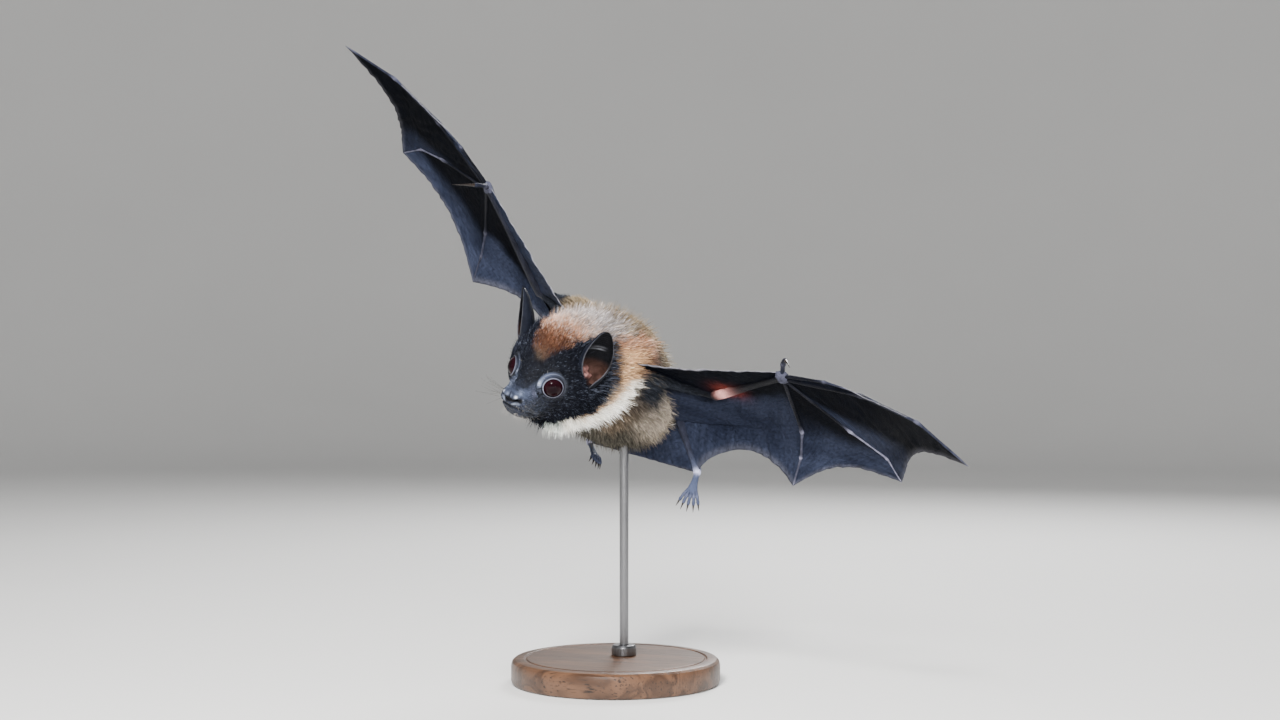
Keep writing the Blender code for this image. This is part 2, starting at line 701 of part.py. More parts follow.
def wing(side):
    joints = wing_joints(side)
    arm(side, joints)
    thumb(side, joints)
    fingers = {}
    for digit in DIGITS:
        fingers[digit] = finger_line(joints[digit], DIGIT_RADII[digit])
        bone(f"finger_{digit}_{side}", side, fingers[digit], sides=6)
    hand_web("web_5_4", side, fingers[5], fingers[4], SCALLOP["5_4"])
    hand_web("web_4_3", side, fingers[4], fingers[3], SCALLOP["4_3"])
    narrow_web(side, fingers[2], fingers[3])
    arm_web(side, joints, fingers[5])
    front_web(side, joints)


# ---- legs and tail membrane

def leg(side):
    """Furred thigh and bare shin."""
    knee, ankle = KNEES[side], ANKLES[side]
    hip = mirrored(HIP, side)
    thigh_line = (knee - hip).normalized()
    route = [hip, hip.lerp(knee, 0.6), knee, knee + thigh_line * KNEE_CAP]
    radii = [THIGH_RADIUS, THIGH_RADIUS * 0.85, SHIN_RADIUS * 1.4, SHIN_RADIUS * 0.9]
    thigh = new_object(f"thigh_{side}", *loft(tube(route, radii)), "fur", pose)
    cut(thigh, body_clearance)
    shin_line = (ankle - knee).normalized()
    route = [knee + shin_line * THIGH_RADIUS * KNEE_SPACE]
    route += [knee.lerp(ankle, share) for share in SHIN_SHARES]
    route.append(ankle + shin_line * ANKLE_SPACE)
    radii = [SHIN_RADIUS * size for size in SHIN_TAPER]
    shin = new_object(f"shin_{side}", *loft(tube(route, radii, 8)), "skin", pose)
    cut(shin, body_clearance)


def foot(side):
    """A flat sole that splits into five clawed toes."""
    ankle = ANKLES[side]
    along = (TOES[side] - ankle).normalized()
    length = (TOES[side] - ankle).length
    spread = TOE_SPREAD[side]
    spread = (spread - along * spread.dot(along)).normalized()
    lift = along.cross(spread)
    start = ankle + along * SOLE_START
    knuckles = ankle + along * length * SOLE_SHARE
    rings = [circle(start.lerp(knuckles, share), spread * half, lift * thick, 10)
             for share, half, thick in SOLE_SECTIONS]
    sole = new_object(f"foot_{side}", *loft(rings), "skin", pose)
    radii = [TOE_RADIUS * size for size in TOE_TAPER]
    for toe in range(TOE_COUNT):
        place = 2 * toe / (TOE_COUNT - 1) - 1
        root = knuckles - along * TOE_ROOT_DEPTH + spread * place * TOE_ROOT_SPREAD
        aim = (along + spread * place * TOE_FAN).normalized()
        reach = length * (SOLE_SHARE - 0.05 * place ** 2)
        route = [root + aim * reach * share - lift * TOE_HOOK * max(0.0, share - TOE_BEND)
                 for share in TOE_SHARES]
        made = new_object(f"toe_{toe}_{side}", *loft(tube(route, radii, 5)), "skin", pose)
        cut(sole, made, "UNION")


def tail_membrane():
    """From leg to leg behind the rump, its free edge between the ankles."""
    edges = {}
    for side in SIDES:
        route = [KNEES[side].lerp(ANKLES[side], share) for share in TAIL_SHARES]
        edges[side] = offset_line(route, [SHIN_RADIUS * 1.3] * len(route),
                                  [TAIL_MIDDLE] * len(route))
    left, right = edges["left"], edges["right"]
    near = [left[0], *RUMP_EDGE, *[mirrored(point, "right") for point in RUMP_EDGE[-2::-1]],
            right[0]]
    last = len(near) - 1
    rows = []
    for r in range(len(TAIL_SHARES)):
        row = []
        for i, point in enumerate(near):
            share = i / last
            middle = 1 - abs(2 * share - 1)
            rear = point.lerp(left[-1].lerp(right[-1], share), r / (len(TAIL_SHARES) - 1))
            row.append(left[r].lerp(right[r], share).lerp(rear, min(1.0, 2 * middle)))
        rows.append(row)
    membrane("tail_membrane", "left", rows)


# ---- display stand

def cylinder(name, radius, low, high, colour, centre, segments=16):
    rings = [circle(centre + Vector((0, 0, z)), Vector((radius, 0, 0)), Vector((0, radius, 0)),
                    segments) for z in (low, high)]
    return new_object(name, *loft(rings), colour)


def stand():
    """A round base, a rod that ends in a socket in the belly, and its collar."""
    base = cylinder("stand_base", BASE_RADIUS, 0.0, BASE_HEIGHT, "wood", Vector(), 36)
    edge = base.modifiers.new("edge", "BEVEL")
    edge.width = BASE_BEVEL * MM
    edge.segments = 2
    edge.limit_method = "ANGLE"
    collar = cylinder("stand_collar", COLLAR_RADIUS, BASE_HEIGHT + GAP,
                      BASE_HEIGHT + COLLAR_HEIGHT, "steel", ROD_PLACE, 18)
    foot_of_rod = BASE_HEIGHT - ROD_DEPTH
    cylinder("stand_rod", ROD_RADIUS, foot_of_rod, ROD_TOP, "steel", ROD_PLACE)
    bore = cylinder("rod_clearance", ROD_RADIUS + GAP, foot_of_rod - GAP, ROD_TOP + GAP,
                    "steel", ROD_PLACE)
    for piece in (base, collar, trunk):
        cut(piece, bore)


# ---- the bat on its stand

for old in list(bpy.data.objects):
    bpy.data.objects.remove(old, do_unlink=True)

pose = new_empty("pose", Matrix.Translation((0, 0, TRUNK_HEIGHT))
                 @ turn("X", TRUNK_PITCH).to_4x4() @ turn("Y", TRUNK_BANK).to_4x4())
head_pose = new_empty("head_pose", head_matrix(), pose)
head, trunk, body_clearance = body()
nose()
for wing_side in SIDES:
    eye(wing_side)
    ear(wing_side)
    wing(wing_side)
    leg(wing_side)
    foot(wing_side)
tail_membrane()
lower_jaw()
stand()
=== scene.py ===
from math import cos, pi, radians, sin

import bmesh
import bpy
import numpy as np
from mathutils import Matrix, Vector
from mathutils.bvhtree import BVHTree


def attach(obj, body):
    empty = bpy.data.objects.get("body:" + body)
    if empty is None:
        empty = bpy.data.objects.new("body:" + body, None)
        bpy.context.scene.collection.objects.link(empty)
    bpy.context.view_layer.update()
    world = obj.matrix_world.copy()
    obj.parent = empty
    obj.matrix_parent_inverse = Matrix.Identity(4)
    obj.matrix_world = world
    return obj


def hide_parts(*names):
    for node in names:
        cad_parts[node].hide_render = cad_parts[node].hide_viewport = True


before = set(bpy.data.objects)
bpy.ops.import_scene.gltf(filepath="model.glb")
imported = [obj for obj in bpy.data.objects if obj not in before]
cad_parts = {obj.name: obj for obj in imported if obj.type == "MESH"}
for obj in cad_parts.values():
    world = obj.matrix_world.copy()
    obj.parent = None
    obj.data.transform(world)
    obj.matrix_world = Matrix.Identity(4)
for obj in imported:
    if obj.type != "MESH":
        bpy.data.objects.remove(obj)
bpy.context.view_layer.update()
scene = bpy.context.scene


# ---- studio
# A pale seamless cove, a camera level with the bat's head, and soft lamps: a key high on
# the left, a small one that glints in the eyes, one in front, a wide fill and a rim behind.
MM = 0.001
VIEW_TURN = radians(19.6)
VIEW_AT = Vector((16.1, -5.0, 179.0)) * MM
VIEW_DISTANCE = 1.05
LENS = 53.69


def shown(name, data):
    """A new object in the scene."""
    made = bpy.data.objects.new(name, data)
    scene.collection.objects.link(made)
    return made


forward = Vector((-sin(VIEW_TURN), cos(VIEW_TURN), 0))
rightward = Vector((cos(VIEW_TURN), sin(VIEW_TURN), 0))
upward = Vector((0, 0, 1))
camera = shown("camera", bpy.data.cameras.new("camera"))
camera.data.lens = LENS
camera.data.sensor_width = 36.0
camera.data.clip_start = 0.01
camera.location = VIEW_AT - forward * VIEW_DISTANCE
camera.rotation_euler = forward.to_track_quat("-Z", "Y").to_euler()
scene.camera = camera


def lamp(name, right, up, back, size, power, colour=(1, 1, 1), glints=False):
    """A soft square lamp beside the bat, aimed at it; distances in metres."""
    made = shown(name, bpy.data.lights.new(name, "AREA"))
    made.data.size, made.data.energy, made.data.color = size, power, colour
    offset = rightward * right + upward * up + forward * back
    made.location = VIEW_AT + offset
    made.rotation_euler = (-offset).to_track_quat("-Z", "Y").to_euler()
    made.visible_glossy = glints


lamp("key", -0.30, 0.85, -0.98, 0.36, 48.0, (1.0, 0.985, 0.96))
lamp("catchlight", -0.17, 0.39, -0.90, 0.15, 10.0, glints=True)
lamp("front", 0.25, 0.12, -1.25, 0.30, 22.0, (1.0, 0.99, 0.97))
lamp("fill", 1.1, 0.15, -1.0, 1.2, 5.0, (0.92, 0.96, 1.0))
lamp("rim", 0.35, 0.75, 1.0, 0.6, 24.0, glints=True)

world = bpy.data.worlds.new("studio")
world.use_nodes = True
sky = world.node_tree.nodes["Background"].inputs
sky["Color"].default_value, sky["Strength"].default_value = (0.78, 0.80, 0.83, 1), 0.42
scene.world = world


class Value:
    """A shader socket that understands arithmetic."""

    def __init__(self, tree, socket):
        self.tree, self.socket = tree, socket

    def node(self, kind, settings=None, **inputs):
        return make_node(self.tree, kind, settings, **inputs)

    def maths(self, operation, *others, swap=False):
        values = [self, *others]
        if swap:
            values.reverse()
        made = self.tree.nodes.new("ShaderNodeMath")
        made.operation = operation
        for socket, value in zip(made.inputs, values):
            plug(self.tree, socket, value)
        return Value(self.tree, made.outputs[0])

    def __add__(self, other):
        return self.maths("ADD", other)

    def __sub__(self, other):
        return self.maths("SUBTRACT", other)

    def __mul__(self, other):
        return self.maths("MULTIPLY", other)

    def __rsub__(self, other):
        return self.maths("SUBTRACT", other, swap=True)

    __radd__ = __add__
    __rmul__ = __mul__

    def clamped(self):
        return self.node("ShaderNodeClamp", Value=self)

    def ramp(self, low, high):
        """0 below low, 1 above high, smooth between."""
        return self.node("ShaderNodeMapRange", {"interpolation_type": "SMOOTHSTEP"},
                         Value=self, From_Min=low, From_Max=high)

    def blend(self, first, second):
        """A colour from first to second as this value goes from 0 to 1."""
        return self.node("ShaderNodeMix", {"data_type": "RGBA"}, Factor_Float=self,
                         A_Color=first, B_Color=second)


def plug(tree, socket, value):
    """Links a Value to a socket, or sets the socket to a number or colour."""
    if isinstance(value, Value):
        tree.links.new(value.socket, socket)
    elif isinstance(value, (tuple, list)) and len(value) == 3 and socket.type == "RGBA":
        socket.default_value = (*value, 1.0)
    else:
        socket.default_value = value


def make_node(tree, kind, settings=None, **inputs):
    """A node with its settings first, then its sockets; the first live output comes back."""
    made = tree.nodes.new(kind)
    for name, value in (settings or {}).items():
        if name != "output":
            setattr(made, name, value)
    for name, value in inputs.items():
        found = next(s for s in made.inputs
                     if s.identifier == name or s.name.replace(" ", "_") == name)
        plug(tree, found, value)
    wanted = (settings or {}).get("output")
    live = [s for s in made.outputs if s.enabled and (wanted is None or s.name == wanted)]
    return Value(tree, live[0])


def new_material(name):
    """A material with a bare Principled shader, its tree and its Object coordinates."""
    made = bpy.data.materials.new(name)
    made.use_nodes = True
    tree = made.node_tree
    return made, tree, tree.nodes["Principled BSDF"], make_node(
        tree, "ShaderNodeTexCoord", {"output": "Object"})


def set_shader(shader, **values):
    for name, value in values.items():
        plug(shader.id_data, shader.inputs[name.replace("_", " ")], value)


def noise(tree, place, scale, **more):
    """A fine random value over coordinates."""
    return make_node(tree, "ShaderNodeTexNoise", {"output": "Fac"}, Vector=place, Scale=scale,
                     **more)


def cleaned(work, mesh):
    """Fills a mesh from a bmesh whose doubled corners are merged and faces turned outward."""
    bmesh.ops.remove_doubles(work, verts=work.verts, dist=1e-7)
    bmesh.ops.recalc_face_normals(work, faces=work.faces)
    work.to_mesh(mesh)
    work.free()
    mesh.shade_smooth()


def turned_mesh(name, profile, steps, centre=(0.0, 0.0), closed=False):
    """A mesh turned on a lathe: a profile of radius and height spun about a place, in metres."""
    mesh = bpy.data.meshes.new(name)
    work = bmesh.new()
    strip = [work.verts.new((centre[0] + radius, centre[1], height)) for radius, height in profile]
    pairs = list(zip(strip, strip[1:])) + ([(strip[-1], strip[0])] if closed else [])
    edges = [work.edges.new(pair) for pair in pairs]
    bmesh.ops.spin(work, geom=strip + edges, cent=(*centre, 0), axis=(0, 0, 1), angle=2 * pi,
                   steps=steps, use_merge=True)
    cleaned(work, mesh)
    return mesh


COVE_RADIUS, COVE_CURVE, COVE_WALL = 2.2, 1.2, 2.2
COVE_SIDES, COVE_STEPS = 72, 12
profile = [(0.0, 0.0)]
for step in range(COVE_STEPS + 1):
    angle = pi / 2 * step / COVE_STEPS
    profile.append((COVE_RADIUS + COVE_CURVE * sin(angle), COVE_CURVE * (1 - cos(angle))))
profile.append((COVE_RADIUS + COVE_CURVE, COVE_CURVE + COVE_WALL))
floor = shown("floor", turned_mesh("floor", profile, COVE_SIDES))
if min(floor.data.polygons, key=lambda face: face.center.z).normal.z < 0:
    floor.data.flip_normals()
paper, tree, shader, place = new_material("studio_paper")
grain = noise(tree, place, 3.0)
set_shader(shader, Base_Color=grain.blend((0.60, 0.597, 0.59), (0.64, 0.636, 0.628)),
           Roughness=0.9)
floor.data.materials.append(paper)


# ---- the bat's own frame
# The bat is laid out in its trunk's frame, as a taxidermist's mount is: +X its left, +Y
# rearward, +Z its back, in millimetres. The pose then tilts the whole above its stand.
TRUNK_HEIGHT, TRUNK_PITCH, TRUNK_BANK = 172.0, -35.0, 26.0
HEAD_BEND, HEAD_YAW = 62.0, 7.0
HEAD_PLACE = Vector((-1.4, -49.6, -36.7))


def turn(axis, degrees):
    return Matrix.Rotation(radians(degrees), 4, axis)


trunk_to_world = (Matrix.Translation((0, 0, TRUNK_HEIGHT)) @ turn("X", TRUNK_PITCH)
                  @ turn("Y", TRUNK_BANK))
head_to_trunk = Matrix.Translation(HEAD_PLACE) @ turn("Z", HEAD_YAW) @ turn("X", HEAD_BEND)


def moved(points, matrix):
    """Points carried by a 4x4 matrix."""
    m = np.array(matrix)
    return points @ m[:3, :3].T + m[:3, 3]


def turned(vectors, matrix):
    """Directions carried by a 4x4 matrix."""
    return vectors @ np.array(matrix)[:3, :3].T


def unit(vectors):
    return vectors / np.maximum(np.linalg.norm(vectors, axis=-1, keepdims=True), 1e-9)


def smooth(low, high, value):
    """0 below low, 1 above high, smooth between."""
    t = np.clip((value - low) / (high - low), 0.0, 1.0)
    return t * t * (3 - 2 * t)


def grid_normals(points, wrap):
    """Unit normals and row-wise tangents of a grid of points; outward for a tube."""
    rows = np.gradient(points, axis=0)
    if wrap:
        columns = np.roll(points, -1, 1) - np.roll(points, 1, 1)
    else:
        columns = np.gradient(points, axis=1)
    normals = unit(np.cross(columns, rows))
    if wrap:
        outward = points - points.mean(1, keepdims=True)
        if (normals * outward).sum() < 0:
            normals = -normals
    return normals, unit(rows)


# ---- hide of head, neck and trunk
# One hide from nose to rump. It lies the coat's depth inside the tips of the fur, and is
# bare on the muzzle, where it is folded into nostrils, lips and a parted philtrum.
HEAD_STATIONS = (            # back line (y, z), belly line (y, z), half width
    ((-31.3, -3.2), (-31.0, -6.2), 1.1),
    ((-30.0, -2.6), (-29.6, -6.8), 2.6),
    ((-28.6, 0.2), (-28.2, -10.6), 5.4),
    ((-25.4, 1.4), (-26.0, -15.4), 7.4),
    ((-21.0, 2.8), (-22.0, -19.0), 8.8),
    ((-16.5, 5.8), (-18.0, -21.6), 10.6),
    ((-12.0, 10.4), (-14.0, -23.4), 13.2),
    ((-7.5, 15.0), (-10.5, -24.8), 17.0),
    ((-2.5, 18.8), (-7.0, -26.2), 21.0),
    ((3.0, 21.8), (-4.0, -28.2), 23.8),
    ((9.0, 23.6), (-2.0, -31.0), 25.4),
    ((15.0, 23.8), (-0.5, -34.0), 26.4),
    ((20.5, 22.8), (0.5, -36.6), 27.0),
)
TRUNK_STATIONS = (
    ((-22.0, 24.4), (-12.0, -42.0), 31.6),
    ((-9.0, 27.4), (-2.0, -41.0), 33.0),
    ((6.0, 27.4), (9.0, -38.5), 32.6),
    ((20.0, 24.6), (20.0, -34.5), 30.6),
    ((33.0, 20.6), (31.0, -29.0), 27.0),
    ((43.0, 16.0), (40.0, -23.0), 22.0),
    ((50.0, 11.0), (47.0, -16.5), 16.0),
    ((54.6, 5.6), (52.4, -10.0), 9.6),
    ((56.6, 0.4), (56.0, -4.8), 3.6),
)
RING_SQUARENESS = 0.92
NECK_RINGS, NECK_REACH = 5, 0.75
BODY_SIDES = 144
EYE_RADIUS = 6.2
EYE_CENTRE = np.array([11.2, -8.4, 0.0])
EYE_AIM = unit(np.array([0.666, -0.699, 0.259]))
EAR_ROOT, EAR_TIP = np.array([21.6, 9.0, 1.5]), np.array([28.5, 10.5, 33.0])
EAR_FACING = np.array([0.72, -0.69, 0.0])
EAR_FOLDS = (                # place of each fleshy fold in the ear, radius, height
    ((22.6, 5.4, 4.8), 1.7, 1.6), ((22.8, 8.2, 4.4), 1.8, 1.3), ((21.8, 10.2, 7.2), 1.4, 1.0),
    ((21.6, 7.2, 7.8), 1.3, 1.0), ((23.6, 11.4, 2.0), 1.4, 1.1),
)
BARE_LID = 6.35                                  # where the fur begins, from the eye's axis
COAT_DEPTH = ((-1, 3.6, 5, 8, 10, 12, 14, 16, 20, 24),      # along the body, and its depth
              (0, 0, 0.5, 0.9, 1.9, 2.6, 3.4, 3.4, 3.0, 2.2))
FACE_RELIEF = (              # place on the left of the head, radius, height
    ((3.1, -29.8, -1.7), 2.1, 1.5),      # nostril
    ((4.6, -29.2, -3.9), 1.35, -2.4),    # its opening
    ((5.6, -28.0, -5.5), 1.2, 0.65),     # lip below it
    ((1.5, -29.5, 0.8), 2.4, 0.4),
    ((6.8, -25.0, -6.5), 3.6, 0.7),      # whisker pad
    ((6.6, -19.0, 1.0), 4.2, -0.9),      # hollow beside the bridge of the nose
    ((9.0, -9.0, 10.0), 4.6, 1.1),       # brow
    ((17.5, -3.0, -8.0), 6.5, 1.0),      # cheekbone
    ((4.0, -26.0, -15.5), 3.0, 0.5),     # chin
)
NOSE_BAND = ((0.0, -31.0, -3.4), (1.9, -30.4, -3.4), (4.2, -29.1, -3.7), (6.1, -27.5, -3.5))
NOSE_CRESCENT = ((2.2, -29.8, -5.9), (4.9, -28.4, -5.0), (6.6, -26.5, -3.3))
MOUTH_LINE = ((-32.0, -27.7, -23.0, -18.5, -15.0), (-7.2, -8.6, -12.4, -16.2, -18.6))

AROUND = 2 * pi * np.arange(BODY_SIDES) / BODY_SIDES
trunk_to_head = head_to_trunk.inverted()


def section(station):
    """One oval ring between a back point and a belly point."""
    (top_y, top_z), (low_y, low_z), width = station
    top, low = np.array([0, top_y, top_z]), np.array([0, low_y, low_z])
    ring = (top + low) / 2 + np.outer(np.sin(AROUND), (top - low) / 2)
    ring[:, 0] = width * np.abs(np.cos(AROUND)) ** RING_SQUARENESS * np.sign(np.cos(AROUND))
    return ring


def spline_at(rows, places):
    """Rows of a Catmull-Rom sweep through rows, at places counted in them."""
    rows = np.asarray(rows, float)
    places = np.clip(np.asarray(places, float), 0, len(rows) - 1)
    padded = np.concatenate([2 * rows[:1] - rows[1:2], rows, 2 * rows[-1:] - rows[-2:-1]])
    low = np.minimum(places.astype(int), len(rows) - 2)
    u = (places - low).reshape(-1, *[1] * (rows.ndim - 1))
    a, b, c, d = (padded[low + i] for i in range(4))
    return 0.5 * (2 * b + (c - a) * u + (2 * a - 5 * b + 4 * c - d) * u ** 2
                  + (3 * b - a - 3 * c + d) * u ** 3)


def waves(points, size, seed):
    """A smooth random value about -1 to 1 at points, with features about size across."""
    source = np.random.default_rng(seed)
    total = np.zeros(points.shape[:-1])
    for _ in range(12):
        way = unit(source.normal(size=3)) * 2 * pi / size * source.uniform(0.6, 1.5)
        total += np.sin(points @ way + source.uniform(0, 2 * pi))
    return total / 3.4


def peak(value, centre, width):
    """1 at the centre, fading over the width on both sides."""
    return np.exp(-((value - centre) / width) ** 2)


def spot(points, place, radius):
    """1 at a place, fading over the radius all about it."""
    return np.exp(-((points - np.array(place)) ** 2).sum(-1) / radius ** 2)


def on_left(points):
    """The trunk's points in the head's frame, those on its right mirrored to its left."""
    there = moved(points, trunk_to_head)
    there[..., 0] = np.abs(there[..., 0])
    return there


def quads(rows, count):
    """The faces between closed rings of count corners."""
    r, c = np.meshgrid(np.arange(rows - 1), np.arange(count), indexing="ij")
    beside = (c + 1) % count
    return np.stack([r * count + c, r * count + beside, (r + 1) * count + beside,
                     (r + 1) * count + c], -1).reshape(-1, 4).tolist()


def neck(before, start, end, after):
    """Rings that carry the head's outline over into the trunk's."""
    reach = np.linalg.norm(end - start, axis=1, keepdims=True) * NECK_REACH
    made = []
    for share in np.arange(1, NECK_RINGS) / NECK_RINGS:
        stay = 2 * share ** 3 - 3 * share ** 2 + 1
        made.append(start * stay + end * (1 - stay)
                    + unit(start - before) * reach * (share ** 3 - 2 * share ** 2 + share)
                    + unit(after - end) * reach * (share ** 3 - share ** 2))
    return made


def stroke(points, route, radius):
    """How near points lie to a drawn route: 1 on it, fading over the radius."""
    route = np.asarray(route, float)
    nearest = np.full(points.shape[:-1], np.inf)
    for start, end in zip(route, route[1:]):
        run = end - start
        share = np.clip((points - start) @ run / (run @ run), 0, 1)[..., None]
        nearest = np.minimum(nearest, ((points - start - share * run) ** 2).sum(-1))
    return np.exp(-nearest / radius ** 2)


head_sections = [moved(section(station), head_to_trunk) for station in HEAD_STATIONS]
trunk_sections = [section(station) for station in TRUNK_STATIONS]
row_v = np.concatenate([np.arange(-10, 60) / 10, np.arange(24, 97) / 4])
outline = spline_at([*head_sections,
                     *neck(head_sections[-2], head_sections[-1], *trunk_sections[:2]),
                     *trunk_sections], row_v + 1)
grid_v = np.repeat(row_v[:, None], BODY_SIDES, 1)
grid_phi = np.degrees(np.arcsin(np.sin(AROUND)))[None].repeat(len(row_v), 0)
normals, _ = grid_normals(outline, True)
flesh = outline - normals * np.interp(grid_v, *COAT_DEPTH)[..., None]

there = on_left(outline)
across_head, along_head, up_head = (there[..., i] for i in range(3))
relief = np.zeros(grid_v.shape)
for place, radius, height in FACE_RELIEF:
    relief += height * spot(there, place, radius)
parting = peak(across_head, 0, 0.6) * (1 - smooth(-27.6, -25.6, along_head))
parting *= smooth(-7.6, -6.6, up_head) * (1 - smooth(-0.6, 1.4, up_head))
from_mouth = (up_head - np.interp(along_head, *MOUTH_LINE)) * 0.8
mouth = peak(from_mouth, 0, 0.5) * (1 - smooth(-20.5, -16.0, along_head))
lips = (peak(from_mouth, 1.1, 0.7) + peak(from_mouth, -1.1, 0.7)) * (
    1 - smooth(-24.0, -18.5, along_head))
nostrils = stroke(there, NOSE_BAND, 1.0)
crescent = stroke(there, NOSE_CRESCENT, 0.5)
relief += 0.45 * crescent - 1.1 * nostrils
muzzle_folds = np.sin(along_head * 3.4 + up_head * 1.3) * smooth(-26, -22, along_head)
relief += -0.9 * parting - 0.8 * mouth + 0.32 * lips
relief += 0.09 * muzzle_folds * (1 - smooth(2.0, 4.0, grid_v)) * smooth(-8, -2, up_head)
relief += 0.08 * waves(outline, 2.2, 5) * (1 - smooth(3.5, 6.0, grid_v))
flesh += normals * relief[..., None]
face_rows = row_v < 9
lid_ground = BVHTree.FromPolygons(
    moved(flesh[face_rows], trunk_to_head).reshape(-1, 3).tolist(),
    quads(face_rows.sum(), BODY_SIDES))
LEFT_RIGHT = {"left": 1, "right": -1}
across = unit(np.cross(EYE_AIM, [0, 0, 1]))      # rearward
across *= np.sign(across[1])
raised = np.cross(across, EYE_AIM)
raised *= np.sign(raised[2])
pelt = flesh.copy()                              # where the coat is rooted, over the lids too
on_pelt = on_left(pelt)
up = unit(EAR_TIP - EAR_ROOT)
facing = unit(EAR_FACING - up * (EAR_FACING @ up))
aside = np.cross(up, facing)
from_root = on_pelt - EAR_ROOT
ear_rise = from_root @ up / np.linalg.norm(EAR_TIP - EAR_ROOT)
ear_gap = ((from_root - ear_rise[..., None] * (EAR_TIP - EAR_ROOT)) @ np.column_stack(
    [aside / 7.6, facing / 5.2]))
ear_gap = (ear_gap ** 2).sum(-1) + 9 * smooth(0.45, 0.62, ear_rise) + 9 * (
    1 - smooth(-0.3, -0.12, ear_rise))
in_ear = 1 - smooth(0.4, 0.95, ear_gap)
flesh -= normals * (4.2 * in_ear)[..., None]
for place, radius, height in EAR_FOLDS:
    flesh += normals * (2.0 * (height * spot(on_pelt, place, radius) * in_ear))[..., None]
in_head = moved(flesh, trunk_to_head)
eye_gap = np.full(grid_v.shape, 99.0)
for side in LEFT_RIGHT.values():
    mirror = np.array([side, 1, 1])
    aim = EYE_AIM * mirror
    out = in_head - EYE_CENTRE * mirror
    ahead = out @ aim
    from_axis = np.where(ahead > -1, np.linalg.norm(out - ahead[..., None] * aim, axis=-1), 99.0)
    heading = (out @ ((0.82 * raised - 0.57 * across) * mirror)) / np.maximum(from_axis, 0.1)
    eye_gap = np.minimum(eye_gap, from_axis - BARE_LID - 1.9 * smooth(-0.1, 0.8, heading))
    in_head = in_head - aim * (5.0 * (1 - smooth(6.6, 9.2, from_axis)))[..., None]
flesh = moved(in_head, head_to_trunk)
pelt_normals, pelt_lie = grid_normals(pelt, True)


# ---- markings
# The colours of hide and coat, laid out along the body (v, from the nose, 0, over the nape,
# 12, to the rump, 24) and around it (phi, from the belly, -90, to the back, 90).
MASK_EDGE = (                # around the body, and where the mask ends along it
    (-90, -70, -60, -40, -27, -20, -10, 0, 22, 35, 47, 56, 60, 62.5, 67.5, 77.5, 85, 90),
    (9.6, 9.4, 8.4, 8.9, 11.3, 12.4, 12.9, 13.2, 13.2, 13.0, 12.9, 12.6, 12.0, 9.4, 7.7, 6.7,
     6.3, 6.2))
COATS = {                    # colour at the root, colour at the tip
    "mask": ((0.002, 0.0023, 0.0035), (0.007, 0.008, 0.012)),
    "mask_pale": ((0.006, 0.007, 0.010), (0.080, 0.090, 0.120)),
    "muzzle": ((0.008, 0.010, 0.016), (0.130, 0.155, 0.225)),
    "brow": ((0.012, 0.005, 0.003), (0.075, 0.030, 0.017)),
    "rufous": ((0.100, 0.040, 0.020), (0.420, 0.205, 0.115)),
    "crown": ((0.110, 0.055, 0.034), (0.500, 0.350, 0.270)),
    "silver": ((0.043, 0.039, 0.041), (0.399, 0.373, 0.377)),
    "cream": ((0.620, 0.560, 0.440), (1.000, 0.985, 0.930)),
    "orange": ((0.150, 0.075, 0.030), (0.580, 0.370, 0.205)),
    "throat": ((0.240, 0.270, 0.250), (0.760, 0.850, 0.800)),
    "fawn": ((0.024, 0.016, 0.010), (0.135, 0.105, 0.076)),
    "nape": ((0.031, 0.022, 0.014), (0.198, 0.150, 0.098)),
    "olive": ((0.023, 0.018, 0.011), (0.162, 0.126, 0.080)),
    "grizzle": ((0.070, 0.060, 0.045), (0.432, 0.378, 0.297)),
    "flank": ((0.034, 0.028, 0.021), (0.430, 0.365, 0.300)),
    # the belly's fur, darkened further by painted shade
    "shaded_belly": ((0.014, 0.012, 0.010), (0.070, 0.064, 0.052)),
    "shadow": ((0.004, 0.005, 0.007), (0.022, 0.025, 0.032)),
}
# Pale spots on the bare face, painted highlights on the nostrils, the bridge of the nose and before
# the eye.
FACE_HIGHLIGHTS = (                  # place on the left of the face, colour, radius, strength
    ((4.2, -29.5, -0.9), (0.50, 0.53, 0.62), 0.75, 0.95),
    ((0.9, -29.9, -1.1), (0.12, 0.14, 0.20), 1.0, 0.7),
    ((4.4, -25.6, 0.2), (0.10, 0.12, 0.18), 1.8, 0.6),
    ((5.6, -13.2, 0.4), (0.14, 0.16, 0.235), 1.9, 0.8),
    ((7.4, -17.5, -2.0), (0.060, 0.062, 0.095), 2.2, 0.8),
)


def dyed(tone, colour, weight):
    """Tones drawn towards a colour by a weight for each."""
    return tone + (np.array(colour) - tone) * np.clip(weight, 0, 1)[..., None]


def painted(tone, *layers):
    """Tones drawn towards one colour after another, each with its weight."""
    for colour, weight in layers:
        tone = dyed(tone, colour, weight)
    return tone


def over(value, low, high, soft):
    """1 between low and high, fading over soft on both sides."""
    return smooth(low - soft, low + soft, value) * (1 - smooth(high - soft, high + soft, value))


